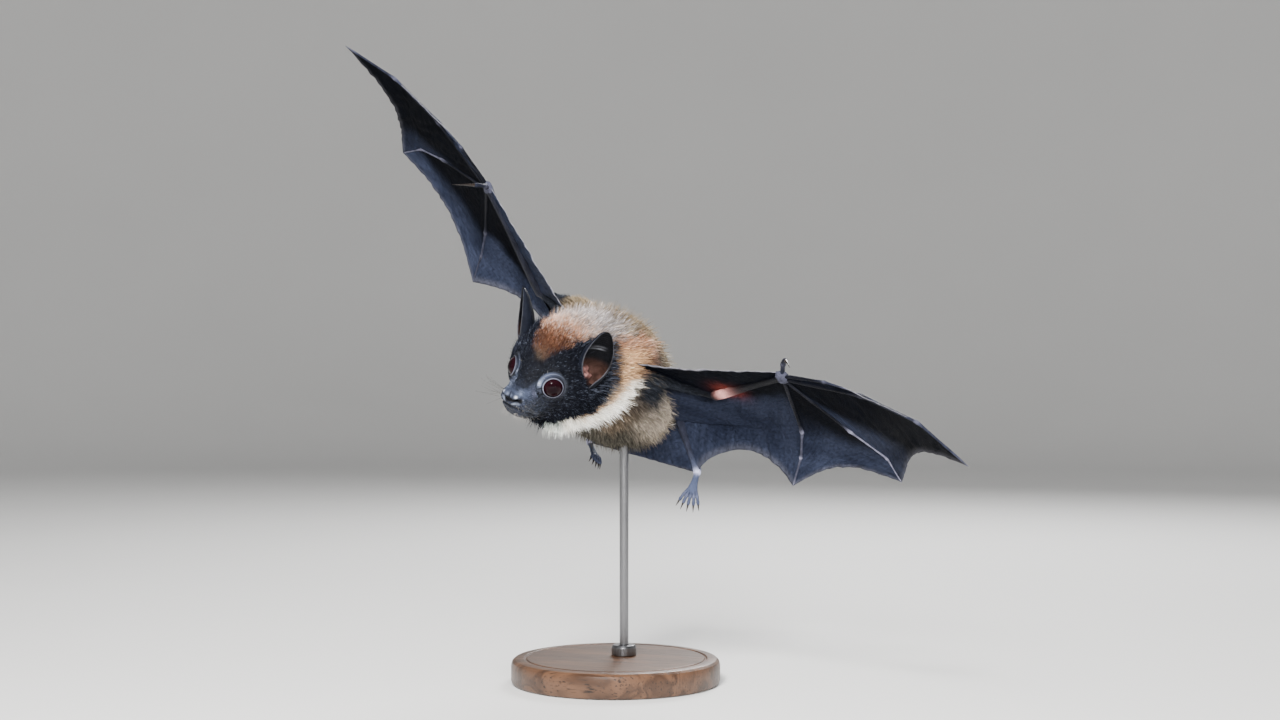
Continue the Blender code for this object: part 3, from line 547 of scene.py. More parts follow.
def markings(v, phi, points, chance):
    """Root and tip colours of the coat at places along and around the body."""
    blur = (chance * 7.31) % 1 - 0.5
    v = v + 0.14 * waves(points, 7, 60) + (0.5 + 1.3 * smooth(45, 58, phi)) * blur * smooth(5, 7, v)
    phi = phi + 2.5 * waves(points, 9, 62) + 5 * ((chance * 5.17) % 1 - 0.5)
    edge = np.interp(phi, *MASK_EDGE) + 0.45 * smooth(54, 64, phi)
    # painted shade: on the right side, low on the head, the mask reaches further back
    edge = edge + 1.8 * smooth(1, 6, -points[..., 0]) * (1 - smooth(-45, -20, phi))
    cheek, crown = over(phi, -20, 54, 8), smooth(50, 60, phi)
    masked = 1 - smooth(-0.30 - 1.5 * smooth(52, 62, phi) - 0.7 * cheek, 0.15 + 0.25 * cheek,
                        v - edge)
    layers = (
        ("flank", over(phi, -58, 24, 9) * over(v, 17.0, 20.4, 0.6) * (0.45 + 0.5 * (chance > 0.4))),
        # painted shade: the underside in the darker belly coat
        ("shaded_belly", (1 - smooth(-46, -14, phi)) * smooth(15.5, 16.5, v)),
        ("grizzle", (chance < 0.26) * smooth(-40, -15, phi)),
        ("nape", over(v, 11.0, 17.2, 0.5) * smooth(48, 62, phi)),
        ("fawn", over(phi, -58, 12, 6) * over(v, 15.4, 17.2, 0.4)),
        ("silver", over(v, 11.0, 13.9, 0.6) * smooth(46, 58, phi) * (0.4 + 0.6 * (chance > 0.4))),
        ("crown", over(v, 9.0, 11.4, 0.6) * crown),
        ("rufous", over(v, 6.6, 10.2, 0.7) * crown),
        ("crown", over(v, 7.6, 10.6, 0.6) * crown * (chance > 0.72)),
        ("brow", over(v, 5.8, 8.7, 1.3) * smooth(54, 64, phi) * 0.95),
        ("silver", over(v, 8.4, 11.6, 0.8) * crown * (chance < 0.20) * 0.8),
        ("rufous", over(phi, 12, 54, 5) * over(v, 12.8, 16.0, 0.4) * 0.85),
        ("crown", over(phi, 12, 54, 5) * over(v, 13.2, 16.2, 0.5) * (chance < 0.45)),
        # painted shade: a darker brown over the shoulder, beside the wing's root
        ("brow", over(phi, 8, 34, 6) * over(v, 14.6, 16.2, 0.4) * 0.7),
        ("orange", over(phi, -12, 40, 7) * over(v, 12.6, 14.6, 0.4) * 0.85),
        ("cream", over(phi, -95, 6, 6) * (1 - smooth(15.1, 15.7, v + 0.016 * (phi + 30)))
         * smooth(7.2, 7.8, v)),
        ("throat", (1 - smooth(-62, -48, phi)) * over(v, 8.2, 10.8, 0.8) * 0.9),
        ("orange", over(phi, -36, 20, 8) * over(v - edge, -0.6, 0.8, 0.35) * 0.9),
        ("shadow", np.exp(-(((phi - 12) / 24) ** 2) - ((v - 16.4) / 1.35) ** 2) * 1.6),
        ("mask", masked),
        # pale-tipped tufts in the mask: pale hairs, and painted glints on the black fur
        ("mask_pale", masked * (chance < 0.08 + 0.35 * over(v, 9.6, 13.4, 0.8)
                                * smooth(-12, 10, phi))),
        ("muzzle", (1 - smooth(2.2, 5.6, v + 1.7 * smooth(52, 70, phi)))
         * (0.15 + 0.85 * (chance > 0.55)) * smooth(-60, -20, phi)),
    )
    return [painted(np.broadcast_to(np.array(COATS["olive"][end]), points.shape),
                    *((COATS[name][end], weight) for name, weight in layers)) for end in (0, 1)]


hide_root, hide_tip = markings(grid_v, grid_phi, flesh, np.full(grid_v.shape, 0.5))
bridge = 1.7 * smooth(52, 70, grid_phi)
bare = 1 - smooth(2.6, 5.2, grid_v + 0.03 * (45 - grid_phi).clip(0, 60) * smooth(1, 3, grid_v)
                  + bridge)
hide_tone = painted(
    hide_root * 0.75 + hide_tip * 0.25, ((0.013, 0.016, 0.027), bare),
    ((0.062, 0.077, 0.125), 0.4 * bare * smooth(15, 50, grid_phi)
     * (1 - smooth(2.4, 3.8, grid_v + bridge)) * (0.35 + 0.65 * smooth(0.8, 1.8, grid_v))),
    ((0.004, 0.0035, 0.004), 1.2 * in_ear),
    ((0.024, 0.012, 0.010), in_ear * (1 - smooth(0.16, 0.30, ear_rise)) * 0.9),
    # pink folds of the ear's base: pink skin, the taller folds brighter with painted highlight
    *((np.array((0.46, 0.225, 0.205)) * (height / 1.5) ** 1.5,
       0.95 * spot(on_pelt, place, radius) * in_ear) for place, radius, height in EAR_FOLDS),
    # painted highlights, from the table of pale spots on the face
    *((colour, strength * spot(on_pelt, place, radius))
      for place, colour, radius, strength in FACE_HIGHLIGHTS),
    # the nostrils' pale rim, then painted shade in the nostrils, along the mouth's line and in the
    # philtrum's parting
    ((0.15, 0.17, 0.22), 0.9 * crescent), ((0.002, 0.002, 0.003), 2.2 * nostrils),
    ((0.004, 0.004, 0.006), 1.1 * mouth + 0.7 * parting))
hide_tone *= (1 + 0.22 * waves(outline, 3.0, 8) + 0.14 * waves(outline, 0.9, 9))[..., None]

shells = []                  # every closed part of the hide, joined at the end


def shell(points, kind, place, tone, weave=None, leaf=False, matrix=None):
    """Adds one closed part: a tube of rows, or a leaf whose rows run out and back."""
    count_rows, count = points.shape[:2]
    if matrix is not None:
        points = moved(points, matrix)
    tone = np.broadcast_to(np.asarray(tone, float), points.shape)
    weave = np.zeros((*points.shape[:2], 2)) if weave is None else weave
    r, c = np.meshgrid(np.arange(count_rows - 1), np.arange(count), indexing="ij")
    faces = quads(count_rows, count)
    u = np.stack([c, c + 1, c + 1, c], -1) / count
    v = 0.04 + 0.92 * np.stack([r, r, r + 1, r + 1], -1) / (count_rows - 1)
    uv = [np.stack([u, v], -1).reshape(-1, 2)]
    flat = points.reshape(-1, 3)
    tones, weaves = tone.reshape(-1, 3), weave.reshape(-1, 2)
    for first, low in ((0, True), ((count_rows - 1) * count, False)):
        edge, brim = (0.04, 0.0) if low else (0.96, 1.0)
        if leaf:
            half = count // 2
            for i in range(half - 1):
                ring = [first + i, first + i + 1, first + count - 2 - i, first + count - 1 - i]
                faces.append(ring[::-1] if low else ring)
                a, b = i / half, (i + 1) / half
                corner = np.array([(a, edge), (b, edge), (b, brim), (a, brim)])
                uv.append(corner[::-1] if low else corner)
            continue
        ring = flat[first:first + count]
        flat = np.vstack([flat, ring.mean(0)])
        tones = np.vstack([tones, tones[first:first + count].mean(0)])
        weaves = np.vstack([weaves, weaves[first:first + count].mean(0)])
        for i in range(count):
            fan = [first + i, first + (i + 1) % count, len(flat) - 1]
            faces.append(fan[::-1] if low else fan)
            corner = np.array([(i / count, edge), ((i + 1) / count, edge),
                               ((i + 0.5) / count, brim)])
            uv.append(corner[::-1] if low else corner)
    uv = np.vstack(uv)
    a, b, c = flat[np.array([(face[0], face[k], face[k + 1])
                             for face in faces for k in range(1, len(face) - 1)])].swapaxes(0, 1)
    if (a * np.cross(b, c)).sum() < 0:      # inside out
        start = 0
        for i, face in enumerate(faces):
            faces[i] = face[::-1]
            uv[start:start + len(face)] = uv[start:start + len(face)][::-1]
            start += len(face)
    left, low, right, high = place
    uv = uv * (right - left, high - low) + (left, low)
    shells.append((flat, faces, uv, tones, weaves, kind))


shell(flesh, "furred", (0.0, 0.42, 0.60, 1.0), hide_tone)


# ---- eyelids
# A ring of bare skin about each eye: a rolled rim that hugs the eyeball, a crease painted dark
# as its shade, and a softer second fold that runs out under the short fur, drawn out forward to
# the canthus. Painted highlights lie above and before the eye.
LID_INNER, LID_OUTER = 5.0, 10.4
LID_OVER_EYE = 0.42
LID_COLUMNS, LID_ROWS = 160, 38

for side_name, side in LEFT_RIGHT.items():
    mirror = np.array([side, 1, 1])
    centre, aim = EYE_CENTRE * mirror, EYE_AIM * mirror
    angle = 2 * pi * np.arange(LID_COLUMNS) / LID_COLUMNS
    spokes = np.outer(np.cos(angle), across * mirror) + np.outer(np.sin(angle), raised * mirror)
    radii = LID_INNER + (LID_OUTER - LID_INNER) * (np.arange(LID_ROWS) / (LID_ROWS - 1)) ** 1.25
    rings, tones = [], []
    lower = 0.5 - 0.5 * np.sin(angle)

    def towards(degrees, spread):
        """1 in one direction from the pupil (0 rearward, 90 up), fading over a spread."""
        off = (angle - radians(degrees) + pi) % (2 * pi) - pi
        return peak(off, 0, spread)

    canthus = towards(186, 0.09)
    brow = towards(125, 0.85)
    streak = 0.5 + 0.5 * np.sin(angle * 46 + 2 * np.sin(angle * 5))
    for radius in radii:
        ground = []
        for spoke in spokes:
            start = centre + spoke * radius + aim * 22
            hit = lid_ground.ray_cast(Vector(start), Vector(-aim))[0]
            ground.append(22 - (Vector(start) - hit).length if hit else 0.0)
        ground = np.array(ground)
        cover = np.sqrt(np.maximum((EYE_RADIUS + LID_OVER_EYE) ** 2 - radius ** 2, 0))
        cover = cover - 3.0 * smooth(6.2, 7.2, radius)
        height = np.logaddexp(cover * 3, ground * 3) / 3
        height += 0.20 * peak(radius, 5.36, 0.28)
        height -= 0.40 * peak(radius, 6.0, 0.30) * (0.35 + 0.65 * lower)
        height += 0.11 * peak(radius, 7.2, 0.42) * brow
        height += 0.04 * (streak - 0.5) * smooth(5.6, 6.8, radius)
        height += (ground - 0.3 - height) * smooth(8.0, 9.8, radius)
        rings.append(centre + spokes * radius + aim * height[:, None])
        band = over(radius, 5.9, 8.0, 0.9)
        tone = painted(
            np.ones((LID_COLUMNS, 3)) * (0.006, 0.007, 0.010),
            ((0.014, 0.016, 0.022), band * towards(5, 0.9) * 0.7),
            # painted highlight: pale blue-grey over the upper lid and a whiter patch toward the
            # canthus, where light falls on the skin
            ((0.050, 0.062, 0.103), band * brow * 0.95),
            ((0.12, 0.145, 0.21), band * towards(165, 0.34) * (0.5 + 0.5 * streak)),
            ((0.28, 0.31, 0.41), over(radius, 6.9, 8.3, 0.7) * towards(164, 0.14)
             * (0.4 + 0.6 * streak)),
            # painted highlight along the top of the outer fold
            ((0.11, 0.125, 0.175), peak(radius, 7.25, 0.20) * towards(105, 0.8) * 0.6),
            ((0.010, 0.011, 0.017), peak(radius, 6.75, 0.22) * towards(80, 0.9) * 0.8),
            ((0.05, 0.055, 0.078), peak(radius, 6.5, 0.16) * lower * 0.6),
            ((0.24, 0.245, 0.32), peak(radius, 5.32, 0.15)
             * (0.40 + 0.60 * np.maximum(lower, towards(200, 0.8)))),
            # painted shade in the crease outside the rim and in the slit of the canthus
            ((0.003, 0.003, 0.005), peak(radius, 6.0, 0.25) * (0.6 + 0.4 * lower)),
            ((0.003, 0.003, 0.005), canthus * over(radius, 5.7, 7.8, 0.2)))
        # painted shade: the right eye's lids at half brightness
        tones.append(tone * (1.0 if side > 0 else 0.5))
    inner = centre + spokes * (LID_INNER + 0.02) + aim * (
        np.sqrt(EYE_RADIUS ** 2 - LID_INNER ** 2) - 0.5)
    back = centre + spokes * LID_OUTER * 0.7 - aim * 2.0
    rings = [back, inner, *rings]
    tones = [tones[0] * 0.1, tones[0] * 0.25, *tones]
    left_edge = 0.62 if side > 0 else 0.81
    shell(np.array(rings), "bare", (left_edge, 0.88, left_edge + 0.18, 1.0), np.array(tones),
          matrix=head_to_trunk)


# ---- ears
# A thin cupped leaf of skin and gristle that gapes forward and outward. It is ridged across
# inside its upper half, pink and glossy in the folds of its base, and sunk in the crown. The
# ridges' crests, the rim and the taller folds carry painted highlights.
EAR_SECTIONS = (             # share of height, half breadth, half gape in degrees
    (-0.30, 3.2, 4), (-0.14, 5.0, 12), (0.0, 6.6, 20), (0.18, 8.2, 40), (0.38, 8.6, 56),
    (0.58, 7.8, 67), (0.76, 6.0, 74), (0.9, 4.0, 80), (0.975, 2.5, 84), (1.0, 1.5, 86),
)
EAR_COLUMNS, EAR_STEPS = 30, 7
EAR_DEPTH, EAR_WALL = 0.62, 0.42
EAR_RIDGES = 12

ear_rows = spline_at(np.array(EAR_SECTIONS),
                     np.arange((len(EAR_SECTIONS) - 1) * EAR_STEPS + 1) / EAR_STEPS)
share, breadth, gape = (ear_rows[:, i][:, None] for i in range(3))
across_share = np.linspace(0, 1, EAR_COLUMNS)[None]
angle = np.radians(gape + (360 - 2 * gape) * across_share)
middle = EAR_ROOT + (EAR_TIP - EAR_ROOT) * share[..., None]
sheet = (middle + facing * (np.cos(angle) * breadth * EAR_DEPTH)[..., None]
         + aside * (np.sin(angle) * breadth)[..., None])
from_rim = np.minimum(across_share, 1 - across_share) * 2
centre_ness = peak(across_share, 0.5, 0.30)
ridge = 0.26 * np.sin(share * EAR_RIDGES * 2 * pi / 0.62) * centre_ness
ridge = ridge * smooth(0.36, 0.48, share) * (1 - smooth(0.9, 0.98, share))
fold = sum(height * peak(across_share, at, width) * (1 - smooth(low, high, share))
           for height, at, width, low, high in (
               (0.8, 0.26, 0.06, 0.2, 0.5), (0.6, 0.40, 0.05, 0.15, 0.4),
               (0.5, 0.72, 0.06, 0.15, 0.45)))
thick = EAR_WALL * (0.42 + 0.58 * smooth(0, 0.3, from_rim)) * (1.2 - 0.5 * share)
outward, _ = grid_normals(sheet, False)
if ((sheet - middle) * outward).sum() < 0:
    outward = -outward
outer = sheet + outward * (thick / 2 + 0.10 * waves(sheet, 7, 20))[..., None]
inner = sheet - outward * (thick / 2 + ridge * 0.5 + fold)[..., None]
# painted highlight: a pale line along the rim
rim_highlight = 1 - smooth(0.0, 0.04, from_rim)
outer_tone = dyed(np.ones(sheet.shape) * (0.005, 0.006, 0.010), (0.06, 0.062, 0.072),
                  rim_highlight * 0.7)
inner_tone = painted(
    np.ones(sheet.shape) * (0.0035, 0.0038, 0.005),
    # painted highlights: the ridges' crests pale silver
    ((0.16, 0.165, 0.185), smooth(0.13, 0.25, ridge) * over(share, 0.36, 0.58, 0.06)
     * (0.5 + 0.5 * waves(sheet, 5, 23))),
    ((0.026, 0.013, 0.010), (1 - smooth(0.20, 0.36, share)) * 0.9),
    ((0.085, 0.045, 0.037), (1 - smooth(0.04, 0.22, share))
     * (0.55 + 0.45 * waves(sheet, 9, 22)) * smooth(0.2, 0.5, from_rim)),
    ((0.10, 0.10, 0.12), rim_highlight * (0.35 + 0.35 * (share < 0.3))))
ear_loop = np.concatenate([outer, inner[:, ::-1]], axis=1)
ear_tone = np.concatenate([outer_tone, inner_tone[:, ::-1]], axis=1)
for side_name, side in LEFT_RIGHT.items():
    left_edge = 0.62 if side > 0 else 0.81
    shell(ear_loop * np.array([side, 1, 1]), "ear", (left_edge, 0.70, left_edge + 0.18, 0.87),
          ear_tone * (1 + 0.2 * waves(ear_loop, 2.5, 21))[..., None], leaf=True,
          matrix=head_to_trunk)


# ---- wings
# Each wing is a bat's hand and arm in bare dark skin: slim bones swollen at the joints, and
# between them a double sheet of skin, creased by fine elastic threads and hung in scallops.
FOREARM = 68.0
HUMERUS = 0.68 * FOREARM
DIGITS = {                   # metacarpal, first and second phalanx, shares of the forearm
    2: (0.40, 0.20),
    3: (0.69, 0.52, 0.52),
    4: (0.68, 0.42, 0.30),
    5: (0.72, 0.28, 0.28),
}
SHOULDER = Vector((21.0, -22.0, 3.0))
ARM_ROOT = {"left": Vector((19.0, -21.0, -3.0)), "right": Vector((19.0, -22.0, 12.5))}
DIGIT_ROOTS = {2: (3.7, -2.2), 3: (3.8, 0.9), 4: (2.6, 3.4), 5: (0.3, 4.2)}
WRIST_RADIUS = 2.7
UPPER_ARM_RADIUS, FOREARM_RADIUS = 4.4, 2.6
DIGIT_RADII = {2: 1.0, 3: 1.2, 4: 1.15, 5: 1.2}
UPPER_ARM_SHARES = (0.0, 0.25, 0.45, 0.7, 0.9, 1.0)
UPPER_ARM_TAPER = {
    "left": (1.5, 1.25, 1.05, 0.8, 0.66, 0.6),
    "right": (2.5, 2.3, 1.6, 1.0, 0.68, 0.6),
}
UPPER_ARM_COAT = (0.42, 0.42, 0.36, 0.22, 0.08, 0.0)     # share of the radius that is fur
FOREARM_SHARES = (0.0, 0.12, 0.3, 0.6, 0.88)
FOREARM_TAPER = (0.8, 1.2, 1.25, 1.1, 0.8, 0.75, 0.9)
ARM_ANGLES = {
    "left": dict(dihedral=13, sweep=9, pitch=4, back=39, forward=30, drop=3),
    "right": dict(dihedral=24, sweep=27, pitch=-9, back=35, forward=32, drop=1),
}
HAND_ANGLES = {
    "left": dict(back=6, drop=6, twist=-5.5),
    "right": dict(back=-2, drop=6, twist=-6),
}
DIGIT_ANGLES = {             # spread of each bone, then its droop
    "left": {2: ((-11, -7), (0, 6)), 3: ((-5.7, -2.5, 7.8), (0, 11, 22)),
             4: ((47, 62.6, 78.1), (0, -9.7, 1.3)), 5: ((92.5, 99.5, 105), (0, 16, 31))},
    "right": {2: ((-11, -7), (0, 5)), 3: ((-5.3, -1.9, 8.8), (0, 7.6, 15.2)),
              4: ((36, 47, 60), (0, -1.9, 12.1)), 5: ((100, 107, 112.5), (0, 14, 28))},
}
THUMB_TIPS = {"left": Vector((10.0, -19.0, -1.5)), "right": Vector((7.0, -13.0, -17.0))}
THUMB_RADIUS = 1.1
HOOK_AIM = Vector((0.25, 0.1, -0.35)).normalized()
HOOK_DEPTH, HOOK_BELLY, HOOK_SHARPNESS = 0.16, 1.4, 4
CLAW_SHARE = 0.36            # of the thumb's length
KNEES = {"left": Vector((25.0, 39.0, 9.0)), "right": Vector((-25.0, 41.0, 3.0))}
ANKLES = {"left": Vector((45.0, 60.0, -8.4)), "right": Vector((-30.5, 67.0, -19.0))}
FRONT_ROOT = {"left": Vector((31.0, -30.0, -2.0)), "right": Vector((-30.0, -32.0, 6.0))}
FRONT_TIP = Vector((-2.6, -3.4, 0.0))
RINGS_PER_BONE = 3
LIMB_SIDES, FINGER_RINGS = 20, 14
WEB_ROWS, WEB_COLUMNS = 56, 30              # between the fingers
ARM_WEB_ROWS, ARM_WEB_COLUMNS = 60, 76      # behind the arm
WEB_HALF = 0.2               # half the thickness of the sheet
SCALLOP = {"arm": {"left": 0.18, "right": 0.27}, "5_4": 0.22, "4_3": 0.20}
CAMBER = 5.0
HIP = Vector((13.0, 40.0, -4.0))
SKIN_BLUE = (0.0055, 0.0070, 0.0135)
SHEET_BLUE = (0.0135, 0.0165, 0.029)
JOINT_PALE = (0.21, 0.21, 0.29)
CLAW_LINES = []              # routes and radii of every claw, for the horn made later


def wing_joints(side):
    """Joints of one wing, laid out as a left wing."""
    arm, hand = ARM_ANGLES[side], HAND_ANGLES[side]
    set_of = turn("Y", -arm["dihedral"]) @ turn("Z", -arm["sweep"]) @ turn("X", arm["pitch"])
    outward = Vector((1, 0, 0))
    elbow = SHOULDER + set_of @ turn("Z", arm["back"]) @ outward * HUMERUS
    lower = set_of @ turn("Z", -arm["forward"]) @ turn("Y", arm["drop"]) @ outward
    wrist = elbow + lower * FOREARM
    palm = set_of @ turn("Z", hand["back"]) @ turn("Y", hand["drop"]) @ turn("X", hand["twist"])
    joints = {"elbow": elbow, "wrist": wrist, "palm": palm}
    for digit, shares in DIGITS.items():
        root_x, root_y = DIGIT_ROOTS[digit]
        points = [wrist + palm @ Vector((root_x, root_y, 0))]
        spread, droop = DIGIT_ANGLES[side][digit]
        lengths = [share * FOREARM for share in shares]
        lengths[0] -= DIGIT_ROOTS[3][0]
        for length, aside_by, down in zip(lengths, spread, droop):
            along = palm @ turn("Z", aside_by) @ turn("Y", down) @ outward
            points.append(points[-1] + along * length)
        joints[digit] = points
    return joints


def rows_between(points, steps):
    """Straight runs between points, steps to each, as one array."""
    return np.array([points[i].lerp(points[i + 1], k / steps)
                     for i in range(len(points) - 1) for k in range(steps)] + [points[-1]])


def tube(route, radii, sides, across=None):
    """Rings of a limb along a route, kept from twisting; radii may differ by side."""
    rings = []
    across = np.array([0.0, 0.0, 1.0]) if across is None else across
    for i, point in enumerate(route):
        along = unit(route[min(i + 1, len(route) - 1)] - route[max(i - 1, 0)])
        if abs(across @ along) > 0.95:
            across = np.array([0.0, 1.0, 0.0])
        across = unit(across - along * (across @ along))
        angle = 2 * pi * np.arange(sides) / sides
        rings.append(point + radii[i] * (np.outer(np.cos(angle), across)
                                         + np.outer(np.sin(angle), np.cross(along, across))))
    return np.array(rings)


def along_line(line, shares):
    """Points at shares of a line's length."""
    line = np.asarray(line, float)
    run = np.concatenate([[0], np.cumsum(np.linalg.norm(np.diff(line, axis=0), axis=1))])
    return np.stack([np.interp(np.asarray(shares) * run[-1], run, line[:, i])
                     for i in range(3)], -1)


def rounded_line(line, count):
    """A line resampled evenly, its corners softened."""
    even = along_line(line, np.linspace(0, 1, count))
    for _ in range(2):
        even[1:-1] = (even[:-2] + 2 * even[1:-1] + even[2:]) / 4
    return even


def bone_tone(points, paleness):
    """The blue-black skin of a limb, paler by a share for each row."""
    tone = dyed(np.ones(points.shape) * SKIN_BLUE, JOINT_PALE,
                np.broadcast_to(np.asarray(paleness)[:, None], points.shape[:2]))
    return tone * (1 + 0.25 * waves(points, 4, 31) + 0.12 * waves(points, 1.2, 32))[..., None]


def membrane(sheet, place, mirror, dark=0.0, glow=None, curl=0.35, edge=0.25):
    """A double sheet over a grid, crinkled, with a thin edge behind (its last row)."""
    rows, columns = sheet.shape[:2]
    normal, _ = grid_normals(sheet, False)
    if normal[..., 2].sum() < 0:
        normal = -normal
    v = np.linspace(0, 1, rows)[:, None]
    u = np.linspace(0, 1, columns)[None]
    run_u = np.linalg.norm(np.diff(sheet, axis=1), axis=-1)
    run_v = np.linalg.norm(np.diff(sheet, axis=0), axis=-1)
    wide = np.concatenate([np.zeros((rows, 1)), np.cumsum(run_u, 1)], 1)
    down = np.concatenate([np.zeros((1, columns)), np.cumsum(run_v, 0)], 0)
    weave = np.stack([wide, down], -1)
    free = np.sin(pi * u) ** 0.5
    level = np.zeros_like(wide)
    crinkle = 0.30 * waves(np.stack([wide, down * 0.22, level], -1), 5.5, 40) * free
    crinkle += 0.16 * waves(np.stack([wide * 0.3, down, level], -1), 3.2, 41) * free
    crinkle += curl * np.sin(wide * 0.9 + 0.6 * waves(sheet, 14, 42)) * smooth(0.82, 1.0, v) * free
    sheet = sheet + normal * crinkle[..., None]
    half = WEB_HALF * (1 - 0.45 * smooth(0.9, 1.0, v) * np.ones_like(u))[..., None]
    top, under = sheet + normal * half, sheet - normal * half
    loop = np.concatenate([top, under[:, ::-1]], axis=1)
    tone = painted(
        np.ones(sheet.shape) * SKIN_BLUE, (SHEET_BLUE, 0.75 + 0.35 * waves(sheet, 22, 43)),
        # painted shadow: the dark weight draws the sheet to near-black where shade falls beneath
        # the arm and leading fingers
        ((0.0006, 0.0008, 0.0014), dark * np.ones(sheet.shape[:2])),
        # painted highlight: a pale line along the last row, the sheet's free edge, by the edge
        # weight
        ((0.09, 0.09, 0.105), edge * smooth(0.93, 1.0, v) * np.ones_like(u)),
        # painted glow: pink light through the skin, from the glow function
        *([glow(sheet)] if glow else []))
    tone = tone * (1 + 0.22 * waves(sheet, 3.0, 44))[..., None]
    shell(loop * mirror, "membrane", place, np.concatenate([tone, tone[:, ::-1]], axis=1),
          np.concatenate([weave, weave[:, ::-1]], axis=1), leaf=True)


coated_limbs = []            # furred tubes: their points and the depth of their coat
for side_name, side in LEFT_RIGHT.items():
    mirror = np.array([side, 1, 1])
    low_v = 0.0 if side > 0 else 0.21
    joints = wing_joints(side_name)
    elbow, wrist, palm = joints["elbow"], joints["wrist"], joints["palm"]

    # upper arm and forearm
    root = ARM_ROOT[side_name]
    # Both arms' skin is darkened, the left much more: painted shade beneath the wing on that side.
    arm_shade, arm_pale = (0.16, 0.03) if side > 0 else (0.4, 0.05)
    route = rows_between([root.lerp(elbow, share) for share in UPPER_ARM_SHARES], 5)
    place = np.arange(len(route)) / 5
    taper = np.interp(place, np.arange(6), UPPER_ARM_TAPER[side_name])
    coat = np.interp(place, np.arange(6), UPPER_ARM_COAT)
    radii = UPPER_ARM_RADIUS * taper * (1 - coat)
    rings = tube(route, radii, LIMB_SIDES)
    shell(rings * mirror, "limb", (0.62, low_v, 0.68, low_v + 0.05),
          bone_tone(rings, arm_pale + 0.05 * smooth(4, 5, place)) * arm_shade)
    coated_limbs.append((rings * mirror, UPPER_ARM_RADIUS * taper * coat))
    elbow_tip = elbow - (wrist - elbow).normalized() * 1.5
    stops = [elbow_tip] + [elbow.lerp(wrist, share) for share in FOREARM_SHARES] + [wrist]
    place = np.arange(0, 6.01, 0.2)
    fore_route = spline_at(np.array(stops), place)
    rings = tube(fore_route, FOREARM_RADIUS * np.interp(place, np.arange(7), FOREARM_TAPER),
                 LIMB_SIDES)
    sinew = 0.16 * np.cos(3 * 2 * pi * np.arange(LIMB_SIDES) / LIMB_SIDES)[None, :, None]
    rings = rings + (rings - fore_route[:, None]) * sinew * 0.5
    pale = 0.45 * (1 - smooth(0.2, 1.6, place)) + 0.25 * smooth(5.2, 6.0, place)
    # painted glow: pink light through the skin near the elbow, on the left arm only
    forearm_glow = (0.95 if side > 0 else 0.0) * peak(place, 2.3, 0.55)
    tone = dyed(bone_tone(rings, arm_pale + pale * 0.15) * arm_shade, (0.62, 0.29, 0.27),
                np.repeat(forearm_glow[:, None], LIMB_SIDES, 1))
    shell(rings * mirror, "limb", (0.69, low_v, 0.75, low_v + 0.05), tone)

    # wrist, a knot of small bones
    around = 2 * pi * np.arange(LIMB_SIDES) / LIMB_SIDES
    knot = np.array([np.stack([np.full(LIMB_SIDES, -cos(pi * step)),
                               sin(pi * step) * np.cos(around),
                               sin(pi * step) * np.sin(around)], -1)
                     for step in np.linspace(0.06, 0.94, 14)])
    knot = knot * (WRIST_RADIUS * (1 + 0.10 * waves(knot, 1.3, 50)))[..., None] * (1.5, 1.5, 0.95)
    knot = moved(turned(knot, palm), Matrix.Translation(wrist))
    shell(knot * mirror, "limb", (0.76, low_v, 0.80, low_v + 0.05),
          bone_tone(knot, np.full(14, 0.12)))

    # thumb and the line of its claw
    tip = THUMB_TIPS[side_name]
    hook = HOOK_AIM * tip.length * HOOK_DEPTH
    base = tip.normalized() * 1.2
    thumb_line = np.array([
        wrist + palm @ (base.lerp(tip, s) + hook * (s ** HOOK_SHARPNESS
                                                    - HOOK_BELLY * sin(pi * s)))
        for s in np.linspace(0, 1, 41)])
    claw_at = round(40 * (1 - CLAW_SHARE))
    s = np.linspace(0, 1, claw_at + 2)
    radii = THUMB_RADIUS * (1.25 - 0.2 * smooth(0, 0.25, s) + 0.34 * peak(s, 0.5, 0.09)
                            + 0.12 * peak(s, 0.93, 0.06))
    rings = tube(thumb_line[:claw_at + 2], radii, 14)
    shell(rings * mirror, "limb", (0.81, low_v, 0.85, low_v + 0.05),
          bone_tone(rings, 0.02 + 0.15 * peak(s, 0.5, 0.14)) * 0.7)
    claw_line = thumb_line[claw_at - 2:]
    s = np.linspace(0, 1, len(claw_line))
    CLAW_LINES.append((claw_line * mirror, THUMB_RADIUS * (0.95 - 0.87 * s ** 1.25)))

    # fingers
    lines = {}
    for digit in DIGITS:
        bones = len(joints[digit]) - 1
        route = rows_between(joints[digit], FINGER_RINGS)
        share_of = np.arange(len(route)) / FINGER_RINGS
        bone_no = np.minimum(share_of.astype(int), bones - 1)
        on_bone = share_of - bone_no
        slim = DIGIT_RADII[digit] * (1 - 0.58 * share_of / bones)
        near = np.minimum(on_bone, 1 - on_bone)
        at_end = ((share_of < 0.5) | (share_of > bones - 0.5))
        knuckle = peak(near, 0, 0.055)
        radii = slim * np.where(at_end, 1.0, 1 + 0.5 * knuckle - 0.12 * peak(near, 0.4, 0.2))
        radii[-3:] *= (0.85, 0.6, 0.35)
        route[1:-1] = (route[:-2] + 2 * route[1:-1] + route[2:]) / 4
        route[0] = route[0] * 0.4 + np.array(wrist) * 0.6
        rings = tube(route, radii, 12)
        pale = np.where(at_end & (share_of < 1), 0.05, 0.45 * knuckle) + 0.4 * smooth(
            bones - 0.35, bones, share_of)
        pale = pale * (0.3 if digit < 4 else 1.0) + {4: 0.5, 5: 0.10}.get(digit, 0.0) * smooth(
            0.85, 1.15, share_of)
        # painted shade: the right wing's fourth and fifth fingers keep less of their paleness than
        # the left's
        pale = pale * (1.0 if side > 0 or digit < 4 else 0.35)
        number = digit - 2
